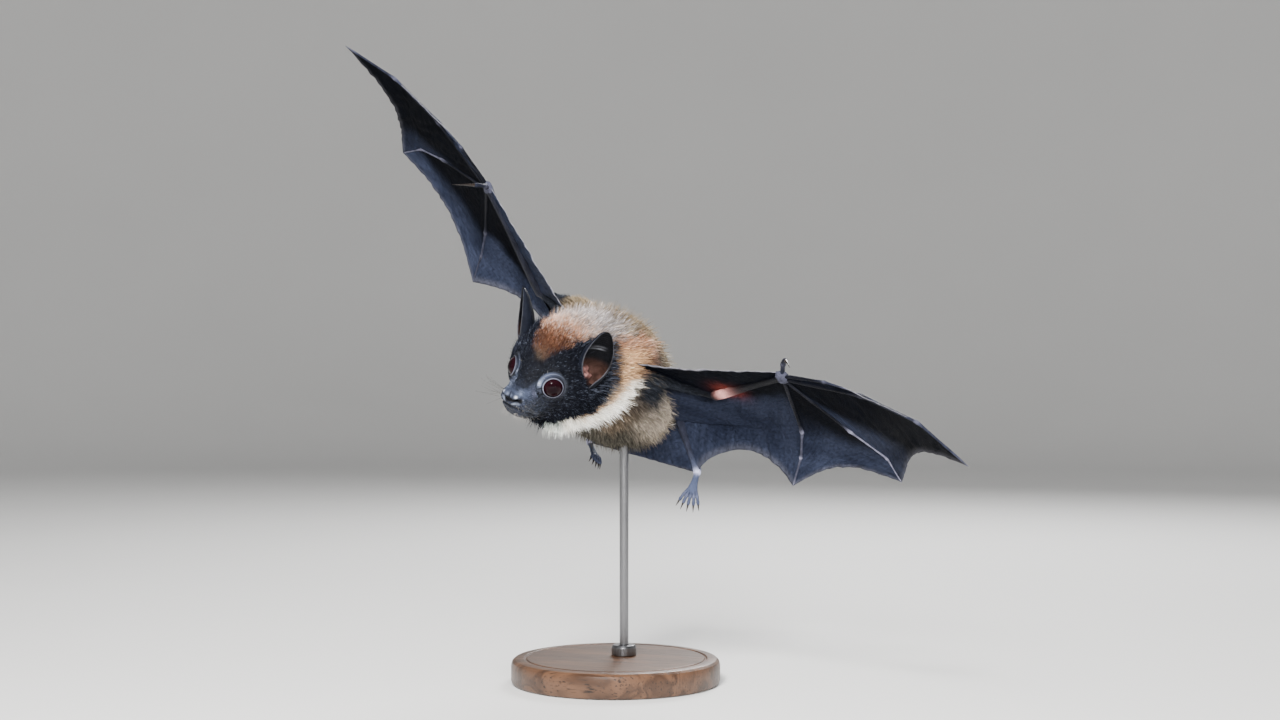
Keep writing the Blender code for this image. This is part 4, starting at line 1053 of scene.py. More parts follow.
        # painted shade: every finger darkened near the wrist, under the sheets' shadow band
        shell(rings * mirror, "limb", (0.62 + 0.06 * number, low_v + 0.06, 0.67 + 0.06 * number,
                                       low_v + 0.20), bone_tone(rings, np.clip(0.02 + pale, 0, 0.8))
              * (0.22 + 0.78 * smooth(0.7, 1.2, share_of))[:, None, None])
        lines[digit] = rows_between(joints[digit], RINGS_PER_BONE)

    # the sheets between the long fingers
    # where the painted shadow band on the sheets between the fingers begins, on each wing
    shadow_band_at = 0.24 if side > 0 else 0.08
    for name, rear, digit_ahead, low_u in (("5_4", 5, 4, 0.0), ("4_3", 4, 3, 0.15)):
        last = 3 * RINGS_PER_BONE
        columns = np.linspace(0, 1, WEB_COLUMNS)
        down = np.linspace(0, 1, WEB_ROWS)[:, None]
        hollow = 1 - SCALLOP[name] * 4 * columns * (1 - columns)
        at = 0.02 + (last - 0.02) * down * hollow
        shape = (WEB_ROWS, WEB_COLUMNS, 3)
        rear_edge = spline_at(lines[rear], at.ravel()).reshape(shape)
        front_edge = spline_at(lines[digit_ahead], at.ravel()).reshape(shape)
        sheet = rear_edge + (front_edge - rear_edge) * columns[None, :, None]
        left = low_u + (0.0 if side > 0 else 0.31)
        near = 1 - down
        # painted shadow: a near-black band along the leading fingers near the wrist
        if digit_ahead == 3:
            dark = smooth(shadow_band_at, shadow_band_at + 0.28, columns[None] + 0.4 * near ** 2)
        else:
            dark = smooth(0.25 + shadow_band_at, 0.6 + shadow_band_at, near + 0.25 * columns[None])
        membrane(sheet, (left, 0.22, left + 0.145, 0.41), mirror, 0.96 * dark)

    # the narrow strip between the second and third fingers
    shares = np.linspace(0, 1, 44)
    edge_2 = np.vstack([spline_at(lines[2], shares[:30] / shares[29] * 6),
                        np.zeros((14, 3))])
    edge_3 = spline_at(lines[3], 0.05 + 6.15 * shares)
    run_out = (1 - np.linspace(0, 1, 15)[1:]) ** 1.5
    gap = lines[2][-1] - edge_3[29]
    edge_2[30:] = edge_3[30:] + gap * run_out[:, None] * 0.9
    columns = np.linspace(0, 1, 7)[None, :, None]
    sheet = edge_3[:, None] * (1 - columns) + edge_2[:, None] * columns
    # painted shade over the left strip, and a painted highlight along its free edge
    membrane(sheet.swapaxes(0, 1), (0.86, low_v, 0.99, low_v + 0.05), mirror,
             0.8 if side > 0 else 0.0, curl=0.0, edge=0.9)

    # the large sheet behind the arm, from flank and leg to the fifth finger
    knee, ankle = (np.array(p[side_name]) * mirror for p in (KNEES, ANKLES))
    upper = np.array([root.lerp(elbow, share) for share in UPPER_ARM_SHARES[2:]])
    lead = rounded_line(np.vstack([upper, fore_route[5:], np.array(wrist)[None]]), 90)
    outer_line = np.vstack([np.array(wrist)[None], lines[5][1:]])
    flank = [trunk_sections[ring][6] * (inward, 1, 1)
             for ring, inward in ((1, 0.8), (2, 0.8), (3, 0.78), (4, 0.72))]
    leg_line = [np.array(HIP) * 0.45 + knee * 0.55, knee, (knee + ankle) / 2, ankle]
    inner_line = rounded_line(np.vstack([lead[:1], flank, leg_line]), 60)
    u = np.linspace(0, 1, ARM_WEB_COLUMNS)[None]
    v = np.linspace(0, 1, ARM_WEB_ROWS)[:, None] * (
        1 - SCALLOP["arm"][side_name] * 4 * u * (1 - u))
    shape = (ARM_WEB_ROWS, ARM_WEB_COLUMNS, 3)
    trail = ankle * (1 - u[..., None]) + outer_line[-1] * u[..., None]
    top = along_line(lead, u.ravel())[None]
    v3, u3 = v[..., None], u[..., None]
    edges = (top * (1 - v3) + trail * v3
             + along_line(inner_line, v.ravel()).reshape(shape) * (1 - u3)
             + along_line(outer_line, v.ravel()).reshape(shape) * u3)
    corners = (lead[0] * (1 - u3) + lead[-1] * u3) * (1 - v3) + trail * v3
    sheet = edges - corners
    sheet[..., 2] += CAMBER * 16 * u * (1 - u) * v * (1 - v)

    def sheet_glow(sheet):
        """A painted glow: pink light through the thin skin beside the elbow, on the left wing only.
        """
        away = ((sheet - np.array(elbow.lerp(wrist, 0.22))) ** 2).sum(-1)
        return (0.13, 0.022, 0.015), (0.75 if side > 0 else 0.0) * np.exp(-away / 60.0)

    left = 0.0 if side > 0 else 0.31
    # painted shadow: near-black beside the arm, a wider band on the right wing
    shade = 0.96 * (1 - smooth(*((0.12, 0.30) if side > 0 else (0.46, 0.60)),
                              v + 0.03 * waves(sheet, 18, 45)))
    membrane(sheet, (left, 0.0, left + 0.30, 0.21), mirror, shade, sheet_glow)

    # the narrow sheet ahead of the arm
    root_point = np.array(FRONT_ROOT[side_name]) * mirror * (0.93, 1, 1)
    tip_point = np.array(wrist + palm @ FRONT_TIP)
    arm_edge = rounded_line(np.vstack([upper, fore_route[5:-2]]), 56)
    straight = along_line([root_point * (0.62, 0.8, 1), root_point, tip_point],
                          np.linspace(0, 1, 56))
    shares = np.linspace(0, 1, 56)[:, None]
    free = straight + (arm_edge - straight) * 0.12 * 4 * shares * (1 - shares)
    columns = np.linspace(0, 1, 16)[:, None, None]
    sheet = arm_edge[None] * (1 - columns) + free[None] * columns
    # painted shade over the left front sheet, a painted glow near the elbow, and a painted
    # highlight along its free edge
    membrane(sheet, (0.86, low_v + 0.06, 0.99, low_v + 0.12), mirror,
             0.92 if side > 0 else 0.0, sheet_glow, 0.2, edge=1.0)


# ---- legs, feet and tail sheet
# Furred thighs turn outward into thin bare shins, and each foot is a flat sole that splits
# into five hooked toes. A narrow double sheet of skin joins leg to leg behind the rump.
TOES = {"left": Vector((54.5, 60.0, -32.5)), "right": Vector((-14.0, 66.5, -30.0))}
TOE_SPREAD = {"left": Vector((0.76, 0.28, 0.59)), "right": Vector((-0.3, 0.8, 0.5))}
THIGH_RADIUS, SHIN_RADIUS = 5.0, 2.1
SHIN_TAPER = (1.3, 1.15, 0.85, 0.8, 1.05)
SOLE_SHARE = 0.5
SOLE_SECTIONS = (            # share of the sole, half breadth, half thickness
    (-0.25, 1.5, 1.6), (0.0, 2.1, 2.1), (0.2, 1.75, 1.5), (0.5, 2.0, 1.3), (0.8, 2.8, 1.25),
    (1.0, 2.9, 1.1), (1.1, 2.3, 0.8),
)
TOE_COUNT, TOE_RADIUS, TOE_FAN, TOE_ROOT_SPREAD = 5, 0.92, 0.42, 2.2
TOE_CLAW = 0.70              # of a toe's length, where its claw begins
RUMP_EDGE = ((16.5, 51.5, -3.0), (10.5, 56.5, -3.5), (0.0, 59.2, -4.0))
TAIL_SHARES = (0.12, 0.4, 0.7, 1.0)
SKIN_GREY = (0.036, 0.045, 0.078)
LILAC = (0.42, 0.43, 0.60)

for side_name, side in LEFT_RIGHT.items():
    first = 0.62 if side > 0 else 0.81
    knee, ankle = KNEES[side_name], ANKLES[side_name]
    hip = Vector((HIP.x * side, HIP.y, HIP.z))
    beyond = knee + (knee - hip).normalized() * 2.0
    place = np.arange(0, 3.01, 0.125)
    route = spline_at(np.array([hip, hip.lerp(knee, 0.6), knee, beyond]), place)
    radii = THIGH_RADIUS * np.interp(place, range(4), (1.0, 0.85, 0.588, 0.36))
    coat = np.interp(place, range(4), (0.45, 0.42, 0.34, 0.15))
    rings = tube(route, radii * (1 - coat), LIMB_SIDES)
    shell(rings, "limb", (first, 0.62, first + 0.05, 0.69), bone_tone(rings, 0.02 * place))
    coated_limbs.append((rings, radii * coat))
    stops = np.array([knee - (ankle - knee) * 0.02] + [knee.lerp(ankle, s)
                                                       for s in (0.25, 0.55, 0.85, 1.0)])
    place = np.arange(0, 4.01, 0.16)
    route = spline_at(stops, place)
    rings = tube(route, SHIN_RADIUS * np.interp(place, range(5), SHIN_TAPER), 16)
    ankle_glow = peak(place, 3.95, 0.5)
    tone = dyed(bone_tone(rings, np.full(len(place), 0.04)), SKIN_GREY, np.repeat(
        smooth(2.0, 3.6, place)[:, None], 16, 1) * 0.7)
    tone = dyed(tone, LILAC, np.repeat(ankle_glow[:, None], 16, 1) * 0.75)
    shell(rings, "limb", (first + 0.06, 0.62, first + 0.11, 0.69), tone)

    along = (TOES[side_name] - ankle).normalized()
    length = (TOES[side_name] - ankle).length
    spread = TOE_SPREAD[side_name]
    spread = (spread - along * spread.dot(along)).normalized()
    lift = along.cross(spread)
    knuckles = ankle + along * length * SOLE_SHARE
    place = np.arange(0, len(SOLE_SECTIONS) - 0.99, 0.25)
    shares, breadth, thick = spline_at(np.array(SOLE_SECTIONS), place).T
    angle = 2 * pi * np.arange(24) / 24
    middle = np.array(ankle) + np.outer(shares, np.array(knuckles - ankle))
    rings = (middle[:, None] + np.array(spread) * (breadth[:, None] * np.cos(angle))[..., None]
             + np.array(lift) * (thick[:, None] * np.sin(angle))[..., None])
    tendons = 0.22 * np.abs(np.cos(angle * 2.5)) * smooth(0.3, 0.9, shares)[:, None]
    rings = rings + np.array(lift) * (tendons * np.sign(np.sin(angle)))[..., None]
    tone = dyed(bone_tone(rings, np.full(len(place), 0.05)), SKIN_GREY,
                np.full(rings.shape[:2], 0.9))
    tone = dyed(tone, LILAC, np.repeat(peak(shares, 0, 0.13)[:, None], 24, 1) * 0.7)
    shell(rings, "limb", (first + 0.12, 0.62, first + 0.17, 0.69), tone)
    for toe in range(TOE_COUNT):
        aside_by = 2 * toe / (TOE_COUNT - 1) - 1
        toe_root = knuckles - along * 1.6 + spread * aside_by * TOE_ROOT_SPREAD
        aim_at = (along + spread * aside_by * TOE_FAN).normalized()
        reach = length * (SOLE_SHARE - 0.05 * aside_by ** 2)
        s = np.linspace(0, 1, 41)
        drop = (2.9 * np.maximum(0, (s - 0.42) / 0.58) ** 1.8
                - 0.5 * np.sin(pi * np.minimum(s / 0.7, 1)))
        toe_line = (np.array(toe_root) + np.outer(s * reach, np.array(aim_at))
                    - np.outer(drop, np.array(lift)))
        end = round(40 * TOE_CLAW) + 2
        t = s[:end]
        radii = TOE_RADIUS * (1.1 - 0.35 * t + 0.22 * peak(t, 0.36, 0.06)
                              + 0.22 * peak(t, 0.62, 0.05))
        rings = tube(toe_line[:end], radii, 10)
        tone = dyed(bone_tone(rings, 0.12 + 0.25 * peak(t, 0.36, 0.08)),
                    SKIN_GREY, np.full(rings.shape[:2], 0.7))
        shell(rings, "limb", (first + 0.035 * toe, 0.53, first + 0.035 * toe + 0.03, 0.60), tone)
        claw_line = toe_line[end - 4:]
        t = np.linspace(0, 1, len(claw_line))
        CLAW_LINES.append((claw_line, TOE_RADIUS * (0.74 - 0.67 * t ** 1.3)))

left, right = (np.array([KNEES[side_name].lerp(ANKLES[side_name], share)
                         for share in TAIL_SHARES]) for side_name in LEFT_RIGHT)
rump = np.array(RUMP_EDGE) - (0, 4.5, 0)
near_edge = np.vstack([left[:1], rump, rump[-2::-1] * (-1, 1, 1), right[:1]])
rows = []
for r in range(len(TAIL_SHARES)):
    row = []
    for i, point in enumerate(near_edge):
        share = i / (len(near_edge) - 1)
        middle_ness = 1 - abs(2 * share - 1)
        rear_point = point + (left[-1] * (1 - share) + right[-1] * share - point) * (
            r / (len(TAIL_SHARES) - 1))
        crossing = left[r] * (1 - share) + right[r] * share
        row.append(crossing + (rear_point - crossing) * min(1.0, 2 * middle_ness))
    rows.append(row)
sheet = spline_at(np.array(rows), np.linspace(0, 3, 24))
sheet = spline_at(sheet.swapaxes(0, 1), np.linspace(0, 6, 64)).swapaxes(0, 1)
membrane(sheet, (0.62, 0.42, 0.80, 0.52), np.ones(3), curl=0.15)


# ---- the whole hide in one piece
# All the parts above are one animal's skin, so they are one mesh. Its finishes are the bare
# face, the furred hide, the sheets of the wings, the ears and the skin of the limbs.
def stored(tree, name, output="Fac"):
    """What an attribute of the mesh says."""
    return make_node(tree, "ShaderNodeAttribute", {"attribute_name": name, "output": output})


def stretched(tree, place, scale):
    """Coordinates scaled by a factor for each axis."""
    return make_node(tree, "ShaderNodeMapping", Vector=place, Scale=scale)


def bumped(tree, height, strength, distance):
    """A Bump node over a height."""
    return make_node(tree, "ShaderNodeBump", Height=height, Strength=strength,
                     Distance=distance)


def hide_material(name, roughness, make_height, vary=0.18, gloss=0.4, coat=0.0, deep=1.0):
    """Skin coloured by its tone, with its own relief and an uneven gloss."""
    made, tree, shader, place = new_material(name)
    tone = stored(tree, "tone", "Color")
    height, glossiness = make_height(tree, place)
    mottled = noise(tree, place, 900.0, Detail=4.0)
    darker = make_node(tree, "ShaderNodeMix", {"data_type": "RGBA", "blend_type": "MULTIPLY"},
                       Factor_Float=vary * 2, A_Color=tone,
                       B_Color=(mottled * 0.55 + height * 0.45 * deep).blend(
                           (0.35, 0.35, 0.38), (1.6, 1.58, 1.56)))
    set_shader(shader, Base_Color=darker, Roughness=(roughness + glossiness).clamped(),
               Normal=bumped(tree, height, 0.7, 0.00025 * deep), Specular_IOR_Level=gloss)
    if coat:
        set_shader(shader, Coat_Weight=coat, Coat_Roughness=0.25)
    return made


def leather(tree, place):
    """Fine wrinkled leather: small cells with creases between them."""
    cells = make_node(tree, "ShaderNodeTexVoronoi", {"feature": "DISTANCE_TO_EDGE",
                                                     "output": "Distance"},
                      Vector=place, Scale=4200.0)
    lumps = noise(tree, place, 700.0, Detail=6.0)
    return cells.ramp(0.0, 0.15) * 0.16 + lumps, lumps * 0.22 - 0.11


def threads(tree, place):
    """Elastic threads of a wing sheet, wavy and side by side, crossed by finer ones."""
    weave = stored(tree, "weave", "Vector")
    span = make_node(tree, "ShaderNodeSeparateXYZ", {"output": "X"}, Vector=weave)
    wander = noise(tree, weave, 0.16, Detail=2.0)
    long_way = (span * 3.4 + wander * 22.0).maths("SINE")
    creases = []
    for scale in ((0.10, 0.36, 1.0), (0.26, 0.85, 1.0)):
        laid = stretched(tree, weave, scale)
        drift = noise(tree, laid, 1.0, Detail=3.0, Distortion=1.3)
        creases.append((drift - 0.5).maths("ABSOLUTE").ramp(0.0, 0.05))
    pores = noise(tree, weave, 2.2, Detail=4.0)
    height = (creases[0] * 0.45 + creases[1] * 0.35 + long_way.ramp(0.35, 1.0) * 0.10
              + pores * 0.25)
    return height, pores * 0.3 - 0.15


skin_kinds = {
    "bare": hide_material("face_skin", 0.44, leather, 0.16, gloss=0.13, coat=0.04),
    "furred": hide_material("furred_hide", 0.48, leather, 0.12, gloss=0.15),
    "membrane": hide_material("wing_sheet", 0.46, threads, 0.45, gloss=0.01, deep=2.5),
    "ear": hide_material("ear_skin", 0.50, leather, 0.12, gloss=0.07),
    "limb": hide_material("limb_skin", 0.44, leather, 0.42, gloss=0.07, deep=2.0),
}
kind_index = {kind: i for i, kind in enumerate(skin_kinds)}
faces, materials_of, start = [], [], 0
for flat, part_faces, *_, kind in shells:
    faces += [[corner + start for corner in face] for face in part_faces]
    materials_of += [kind_index[kind]] * len(part_faces)
    start += len(flat)
points, uvs, tones, weaves = (np.vstack([part[i] for part in shells]) for i in (0, 2, 3, 4))
skin_mesh = bpy.data.meshes.new("skin")
skin_mesh.from_pydata(moved(points, trunk_to_world) * MM, [], faces)
skin_mesh.polygons.foreach_set("material_index", materials_of)
unwrap = skin_mesh.uv_layers.new(name="OFBake")
unwrap.uv.foreach_set("vector", uvs.ravel())
attribute = skin_mesh.attributes.new("tone", "FLOAT_VECTOR", "POINT")
attribute.data.foreach_set("vector", np.clip(tones, 0.001, 1).ravel())
attribute = skin_mesh.attributes.new("weave", "FLOAT_VECTOR", "POINT")
attribute.data.foreach_set("vector", np.hstack([weaves, np.zeros((start, 1))]).ravel())
for made in skin_kinds.values():
    skin_mesh.materials.append(made)
skin_mesh.shade_smooth()
skin_mesh.validate()
skin = shown("skin", skin_mesh)
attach(skin, "root")
paired = ("ear", "upper_arm", "forearm", "wrist", "thumb", "finger_2", "finger_3", "finger_4",
          "finger_5", "web_5_4", "web_4_3", "web_3_2", "arm_web", "front_web", "thigh", "shin",
          "foot")
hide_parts("head", "lower_jaw", "nose", "neck", "trunk", "tail_membrane",
            *[f"{name}_{side}" for name in paired for side in LEFT_RIGHT])


# ---- eyes
# Round, forward-looking glass eyes, as a taxidermist sets them: a black pupil in a very dark
# burgundy iris, under a clear polished cornea.
eye_paint, tree, shader, place = new_material("eye_glass")
gaze = stored(tree, "from_pupil")
fibres = noise(tree, place, 1600.0, Detail=3.0)
iris = (fibres * 0.5 + gaze.ramp(0.3, 0.75) * 0.6).clamped().blend(
    (0.0035, 0.0009, 0.0016), (0.008, 0.0016, 0.0030))
set_shader(shader, Base_Color=gaze.ramp(0.26, 0.36).blend((0.0035, 0.0009, 0.0018), iris),
           Roughness=fibres * 0.03 + 0.07, Specular_IOR_Level=0.08)
EYE_RINGS, EYE_SIDES = 49, 64
for side_name, side in LEFT_RIGHT.items():
    mirror = np.array([side, 1, 1])
    polar = pi * np.arange(EYE_RINGS) / (EYE_RINGS - 1)
    turn_of = 2 * pi * np.arange(EYE_SIDES) / EYE_SIDES
    ring = np.outer(np.cos(turn_of), across) + np.outer(np.sin(turn_of), raised)
    bulge = EYE_RADIUS * (1 + 0.035 * peak(polar, 0, 0.55))
    ball = (EYE_AIM * np.cos(polar)[:, None, None] + ring[None] * np.sin(polar)[:, None, None])
    ball = (EYE_CENTRE + ball * bulge[:, None, None]) * mirror
    mesh = bpy.data.meshes.new(f"eye_{side_name}_ball")
    mesh.from_pydata(moved(moved(ball.reshape(-1, 3), head_to_trunk), trunk_to_world) * MM,
                     [], quads(EYE_RINGS, EYE_SIDES))
    attribute = mesh.attributes.new("from_pupil", "FLOAT", "POINT")
    attribute.data.foreach_set("value", np.repeat(np.sin(np.minimum(polar, pi / 2)), EYE_SIDES))
    work = bmesh.new()
    work.from_mesh(mesh)
    cleaned(work, mesh)
    mesh.materials.append(eye_paint)
    ball = shown(f"eye_{side_name}_ball", mesh)
    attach(ball, "root")
    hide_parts(f"eye_{side_name}")


# ---- claws
# Hooked claws of horn, dark and polished, one on each thumb and toe. The horn grows out of
# the last joint's skin and tapers along its hook to a point.
def named(tree, name, kind):
    return make_node(tree, "GeometryNodeInputNamedAttribute", {"data_type": kind}, Name=name)


def strand_tree():
    """Sweeps a round strand, tapered by its girth, along every route of edges."""
    tree = bpy.data.node_groups.new("strands", "GeometryNodeTree")
    face = tree.interface
    for name, kind in (("Geometry", "Geometry"), ("Sides", "Int"), ("Finish", "Material")):
        face.new_socket(name, in_out="INPUT", socket_type="NodeSocket" + kind)
    face.new_socket("Geometry", in_out="OUTPUT", socket_type="NodeSocketGeometry")
    given, result = tree.nodes.new("NodeGroupInput"), tree.nodes.new("NodeGroupOutput")
    route, sides, finish = (Value(tree, given.outputs[i]) for i in range(3))
    line = make_node(tree, "GeometryNodeMeshToCurve", Mesh=route)
    ring = make_node(tree, "GeometryNodeCurvePrimitiveCircle", {"output": "Curve"},
                     Resolution=sides, Radius=1.0)
    swept = make_node(tree, "GeometryNodeCurveToMesh", Curve=line, Profile_Curve=ring,
                      Scale=named(tree, "girth", "FLOAT"), Fill_Caps=True)
    real = make_node(tree, "GeometryNodeRealizeInstances", Geometry=swept)
    finished = make_node(tree, "GeometryNodeSetMaterial", Geometry=real, Material=finish)
    tree.links.new(finished.socket, result.inputs[0])
    return tree


def set_inputs(modifier, **values):
    """Sets a Geometry Nodes modifier's inputs by the identifiers of their sockets."""
    for item in modifier.node_group.interface.items_tree:
        if item.in_out == "INPUT" and item.name in values:
            modifier[item.identifier] = values[item.name]


def grown(points, edges, attributes, tree, name, **values):
    """A plain mesh that the tree makes from points or routes with attributes."""
    mesh = bpy.data.meshes.new(name)
    mesh.from_pydata(points, edges, [])
    for key, array in attributes.items():
        if array.ndim == 1:
            mesh.attributes.new(key, "FLOAT", "POINT").data.foreach_set("value", array)
        else:
            mesh.attributes.new(key, "FLOAT_VECTOR", "POINT").data.foreach_set(
                "vector", array.ravel())
    made = shown(name, mesh)
    step = made.modifiers.new(name, "NODES")
    step.node_group = tree
    set_inputs(step, **values)
    shape = made.evaluated_get(bpy.context.evaluated_depsgraph_get())
    result = bpy.data.meshes.new_from_object(shape)
    made.modifiers.remove(step)
    made.data = result
    bpy.data.meshes.remove(mesh)
    return made


def strands(name, lines, girths, shades, sides, finish, slot, *nodes):
    """One piece of strands from routes in the bat's frame and their radii, in millimetres."""
    counts = [len(line) for line in lines]
    starts = np.cumsum([0] + counts)
    edges = [(start + i, start + i + 1) for start, count in zip(starts, counts)
             for i in range(count - 1)]
    along = np.concatenate([np.linspace(0, 1, count) for count in counts])
    made = grown(moved(np.vstack(lines), trunk_to_world) * MM, edges,
                 {"girth": np.concatenate(girths) * MM, "along": along,
                  "shade": np.repeat(shades, counts).astype(float)},
                 STRANDS, name, Sides=sides, Finish=finish)
    made.data.shade_smooth()
    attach(made, "root")
    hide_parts(*nodes)


STRANDS = strand_tree()
horn, tree, shader, place = new_material("claw_horn")
down_claw = stored(tree, "along")
fibre = noise(tree, place, 1400.0, Detail=4.0)
worn = (down_claw.ramp(0.15, 0.75) * 0.7 + fibre * 0.5 - 0.2).clamped()
set_shader(shader, Base_Color=worn.blend((0.012, 0.008, 0.006), (0.004, 0.0035, 0.0035)),
           Roughness=fibre * 0.2 + 0.18, Normal=bumped(tree, fibre, 0.3, 0.0001))
strands("claws", [line for line, _ in CLAW_LINES], [girth for _, girth in CLAW_LINES],
        [0.0] * len(CLAW_LINES), 14, horn, "claw", "thumb_claw_left", "thumb_claw_right")


# ---- coat
# Dense fur in tufts that lie rearward along the body, each rooted in the hide: very short
# and blue-black on the face, rufous and silver over the crown, a deep cream collar, and
# grizzled olive-brown behind. Every tuft is dark at its root and paler at its tip.
TUFT_UV = 0.003
COAT_LENGTH = ((1, 3, 5, 7, 8.5, 10, 12, 14, 16, 18, 20, 22, 24),
               (0.7, 1.0, 1.4, 1.8, 2.4, 3.3, 4.6, 5.8, 6.2, 5.8, 5.4, 4.8, 4.0))
COAT_TILT = ((0, 5, 7, 8.5, 10, 12, 15, 18, 24), (18, 22, 30, 40, 48, 52, 50, 46, 38))
COAT_BANDS = (               # range along the body, tufts to a square mm, then how much longer,
    ("face", 1.0, 6.2, 10.0, 1, 0, 1),       # steeper and slimmer than the common coat
    ("cheeks", 6.2, 8.2, 8.0, 1, 0, 1), ("crown", 8.2, 9.8, 8.5, 1, 0, 1),
    ("ruff", 9.8, 11.4, 8.5, 1, 0, 1), ("nape", 11.4, 13.2, 6.6, 1, 0, 1),
    ("collar", 13.2, 15.0, 6.8, 1, 0, 1), ("shoulders", 15.0, 16.6, 5.0, 1, 0, 1),
    ("chest", 16.6, 18.0, 4.2, 1, 0, 1), ("back", 18.0, 20.0, 3.6, 1, 0, 1),
    ("rump", 20.0, 23.9, 3.4, 1, 0, 1), ("guard_front", 7.6, 15.0, 0.9, 1.7, 24, 0.36),
    ("guard_rear", 15.0, 23.0, 0.45, 1.6, 24, 0.42),
)


def tuft_tree():
    """Instances one small bent tuft on every root point and gives each its own map patch."""
    tree = bpy.data.node_groups.new("tufts", "GeometryNodeTree")
    face = tree.interface
    face.new_socket("Geometry", in_out="INPUT", socket_type="NodeSocketGeometry")
    for name, usual in (("Bend", 3.0), ("Belly", 1.7), ("Patch", TUFT_UV)):
        made = face.new_socket(name, in_out="INPUT", socket_type="NodeSocketFloat")
        made.default_value = usual
    face.new_socket("Fur", in_out="INPUT", socket_type="NodeSocketMaterial")
    face.new_socket("Geometry", in_out="OUTPUT", socket_type="NodeSocketGeometry")
    given, result = tree.nodes.new("NodeGroupInput"), tree.nodes.new("NodeGroupOutput")

    def entry(name):
        return Value(tree, given.outputs[name])

    cone = tree.nodes.new("GeometryNodeMeshCone")
    cone.fill_type = "NGON"
    for name, value in (("Vertices", 3), ("Side Segments", 2), ("Radius Top", 0.0),
                        ("Radius Bottom", 1.0), ("Depth", 1.0)):
        cone.inputs[name].default_value = value
    parts = make_node(tree, "ShaderNodeSeparateXYZ",
                      Vector=make_node(tree, "GeometryNodeInputPosition")).socket.node
    x, y, z = (Value(tree, output) for output in parts.outputs)
    fuller = (1 - z) * z * 4 * (entry("Belly") - 1) + 1
    bent = make_node(tree, "ShaderNodeCombineXYZ", X=x * fuller - z * z * entry("Bend"),
                     Y=y * fuller, Z=z - z * z * z * 0.12)
    mapped = make_node(tree, "GeometryNodeStoreNamedAttribute",
                       {"data_type": "FLOAT2", "domain": "CORNER"},
                       Geometry=Value(tree, cone.outputs["Mesh"]), Name="lock",
                       Value=Value(tree, cone.outputs["UV Map"]))
    graded = make_node(tree, "GeometryNodeStoreNamedAttribute",
                       {"data_type": "FLOAT", "domain": "POINT"},
                       Geometry=mapped, Name="along", Value=z)
    tuft = make_node(tree, "GeometryNodeSetPosition", Geometry=graded, Position=bent)
    aimed = make_node(tree, "FunctionNodeAxesToRotation",
                      Primary_Axis=named(tree, "lie", "FLOAT_VECTOR"),
                      Secondary_Axis=named(tree, "out", "FLOAT_VECTOR"))
    placed = make_node(tree, "GeometryNodeInstanceOnPoints", Points=entry("Geometry"),
                       Instance=tuft, Rotation=aimed, Scale=named(tree, "size", "FLOAT_VECTOR"))
    real = make_node(tree, "GeometryNodeRealizeInstances", Geometry=placed)
    patch = make_node(tree, "ShaderNodeVectorMath", {"operation": "SCALE"},
                      Vector=named(tree, "lock", "FLOAT_VECTOR"), Scale=entry("Patch"))
    at_root = make_node(tree, "ShaderNodeVectorMath", {"operation": "ADD"}, Vector=patch,
                        Vector_001=named(tree, "root_place", "FLOAT_VECTOR"))
    unwrapped = make_node(tree, "GeometryNodeStoreNamedAttribute",
                          {"data_type": "FLOAT2", "domain": "CORNER"},
                          Geometry=real, Name="OFBake", Value=at_root)
    finished = make_node(tree, "GeometryNodeSetMaterial", Geometry=unwrapped,
                         Material=entry("Fur"))
    tree.links.new(finished.socket, result.inputs[0])
    return tree


fur, tree, shader, place = new_material("fur")
root_tone = stored(tree, "root_tone", "Color")
tip_tone = stored(tree, "tip_tone", "Color")
along_tuft = stored(tree, "along")
hairs = noise(tree, place, 2600.0, Detail=3.0)
set_shader(shader, Base_Color=(along_tuft * 1.1 + hairs * 0.5 - 0.3).clamped().blend(
    root_tone, tip_tone), Roughness=hairs * 0.2 + 0.6,
    Normal=bumped(tree, hairs, 0.35, 0.0001), Specular_IOR_Level=0.025)
TUFTS = tuft_tree()


def bilinear(grid, r, c):
    """A grid's value at fractional rows and columns; columns wrap."""
    rows, columns = grid.shape[:2]
    r0 = np.clip(np.floor(r).astype(int), 0, rows - 2)
    c0 = np.floor(c).astype(int)
    fr, fc = (r - r0)[:, None], (c - c0)[:, None]
    c0, c1 = c0 % columns, (c0 + 1) % columns
    return ((grid[r0, c0] * (1 - fc) + grid[r0, c1] * fc) * (1 - fr)
            + (grid[r0 + 1, c0] * (1 - fc) + grid[r0 + 1, c1] * fc) * fr)


def rooted(points, out, lie, r, c):
    """Points, outward and along-the-body directions at places of a grid."""
    out, lie = unit(bilinear(out, r, c)), bilinear(lie, r, c)
    return bilinear(points, r, c), out, unit(lie - out * (lie * out).sum(-1, keepdims=True))


def lattice(rows, columns, source):
    """Jittered places over a unit square, one to each cell."""
    r, c = np.meshgrid(np.arange(rows), np.arange(columns), indexing="ij")
    places = np.stack([(c + 0.5).ravel() / columns, (r + 0.5).ravel() / rows], -1)
    return places + source.uniform(-0.36, 0.36, places.shape) / (columns, rows)


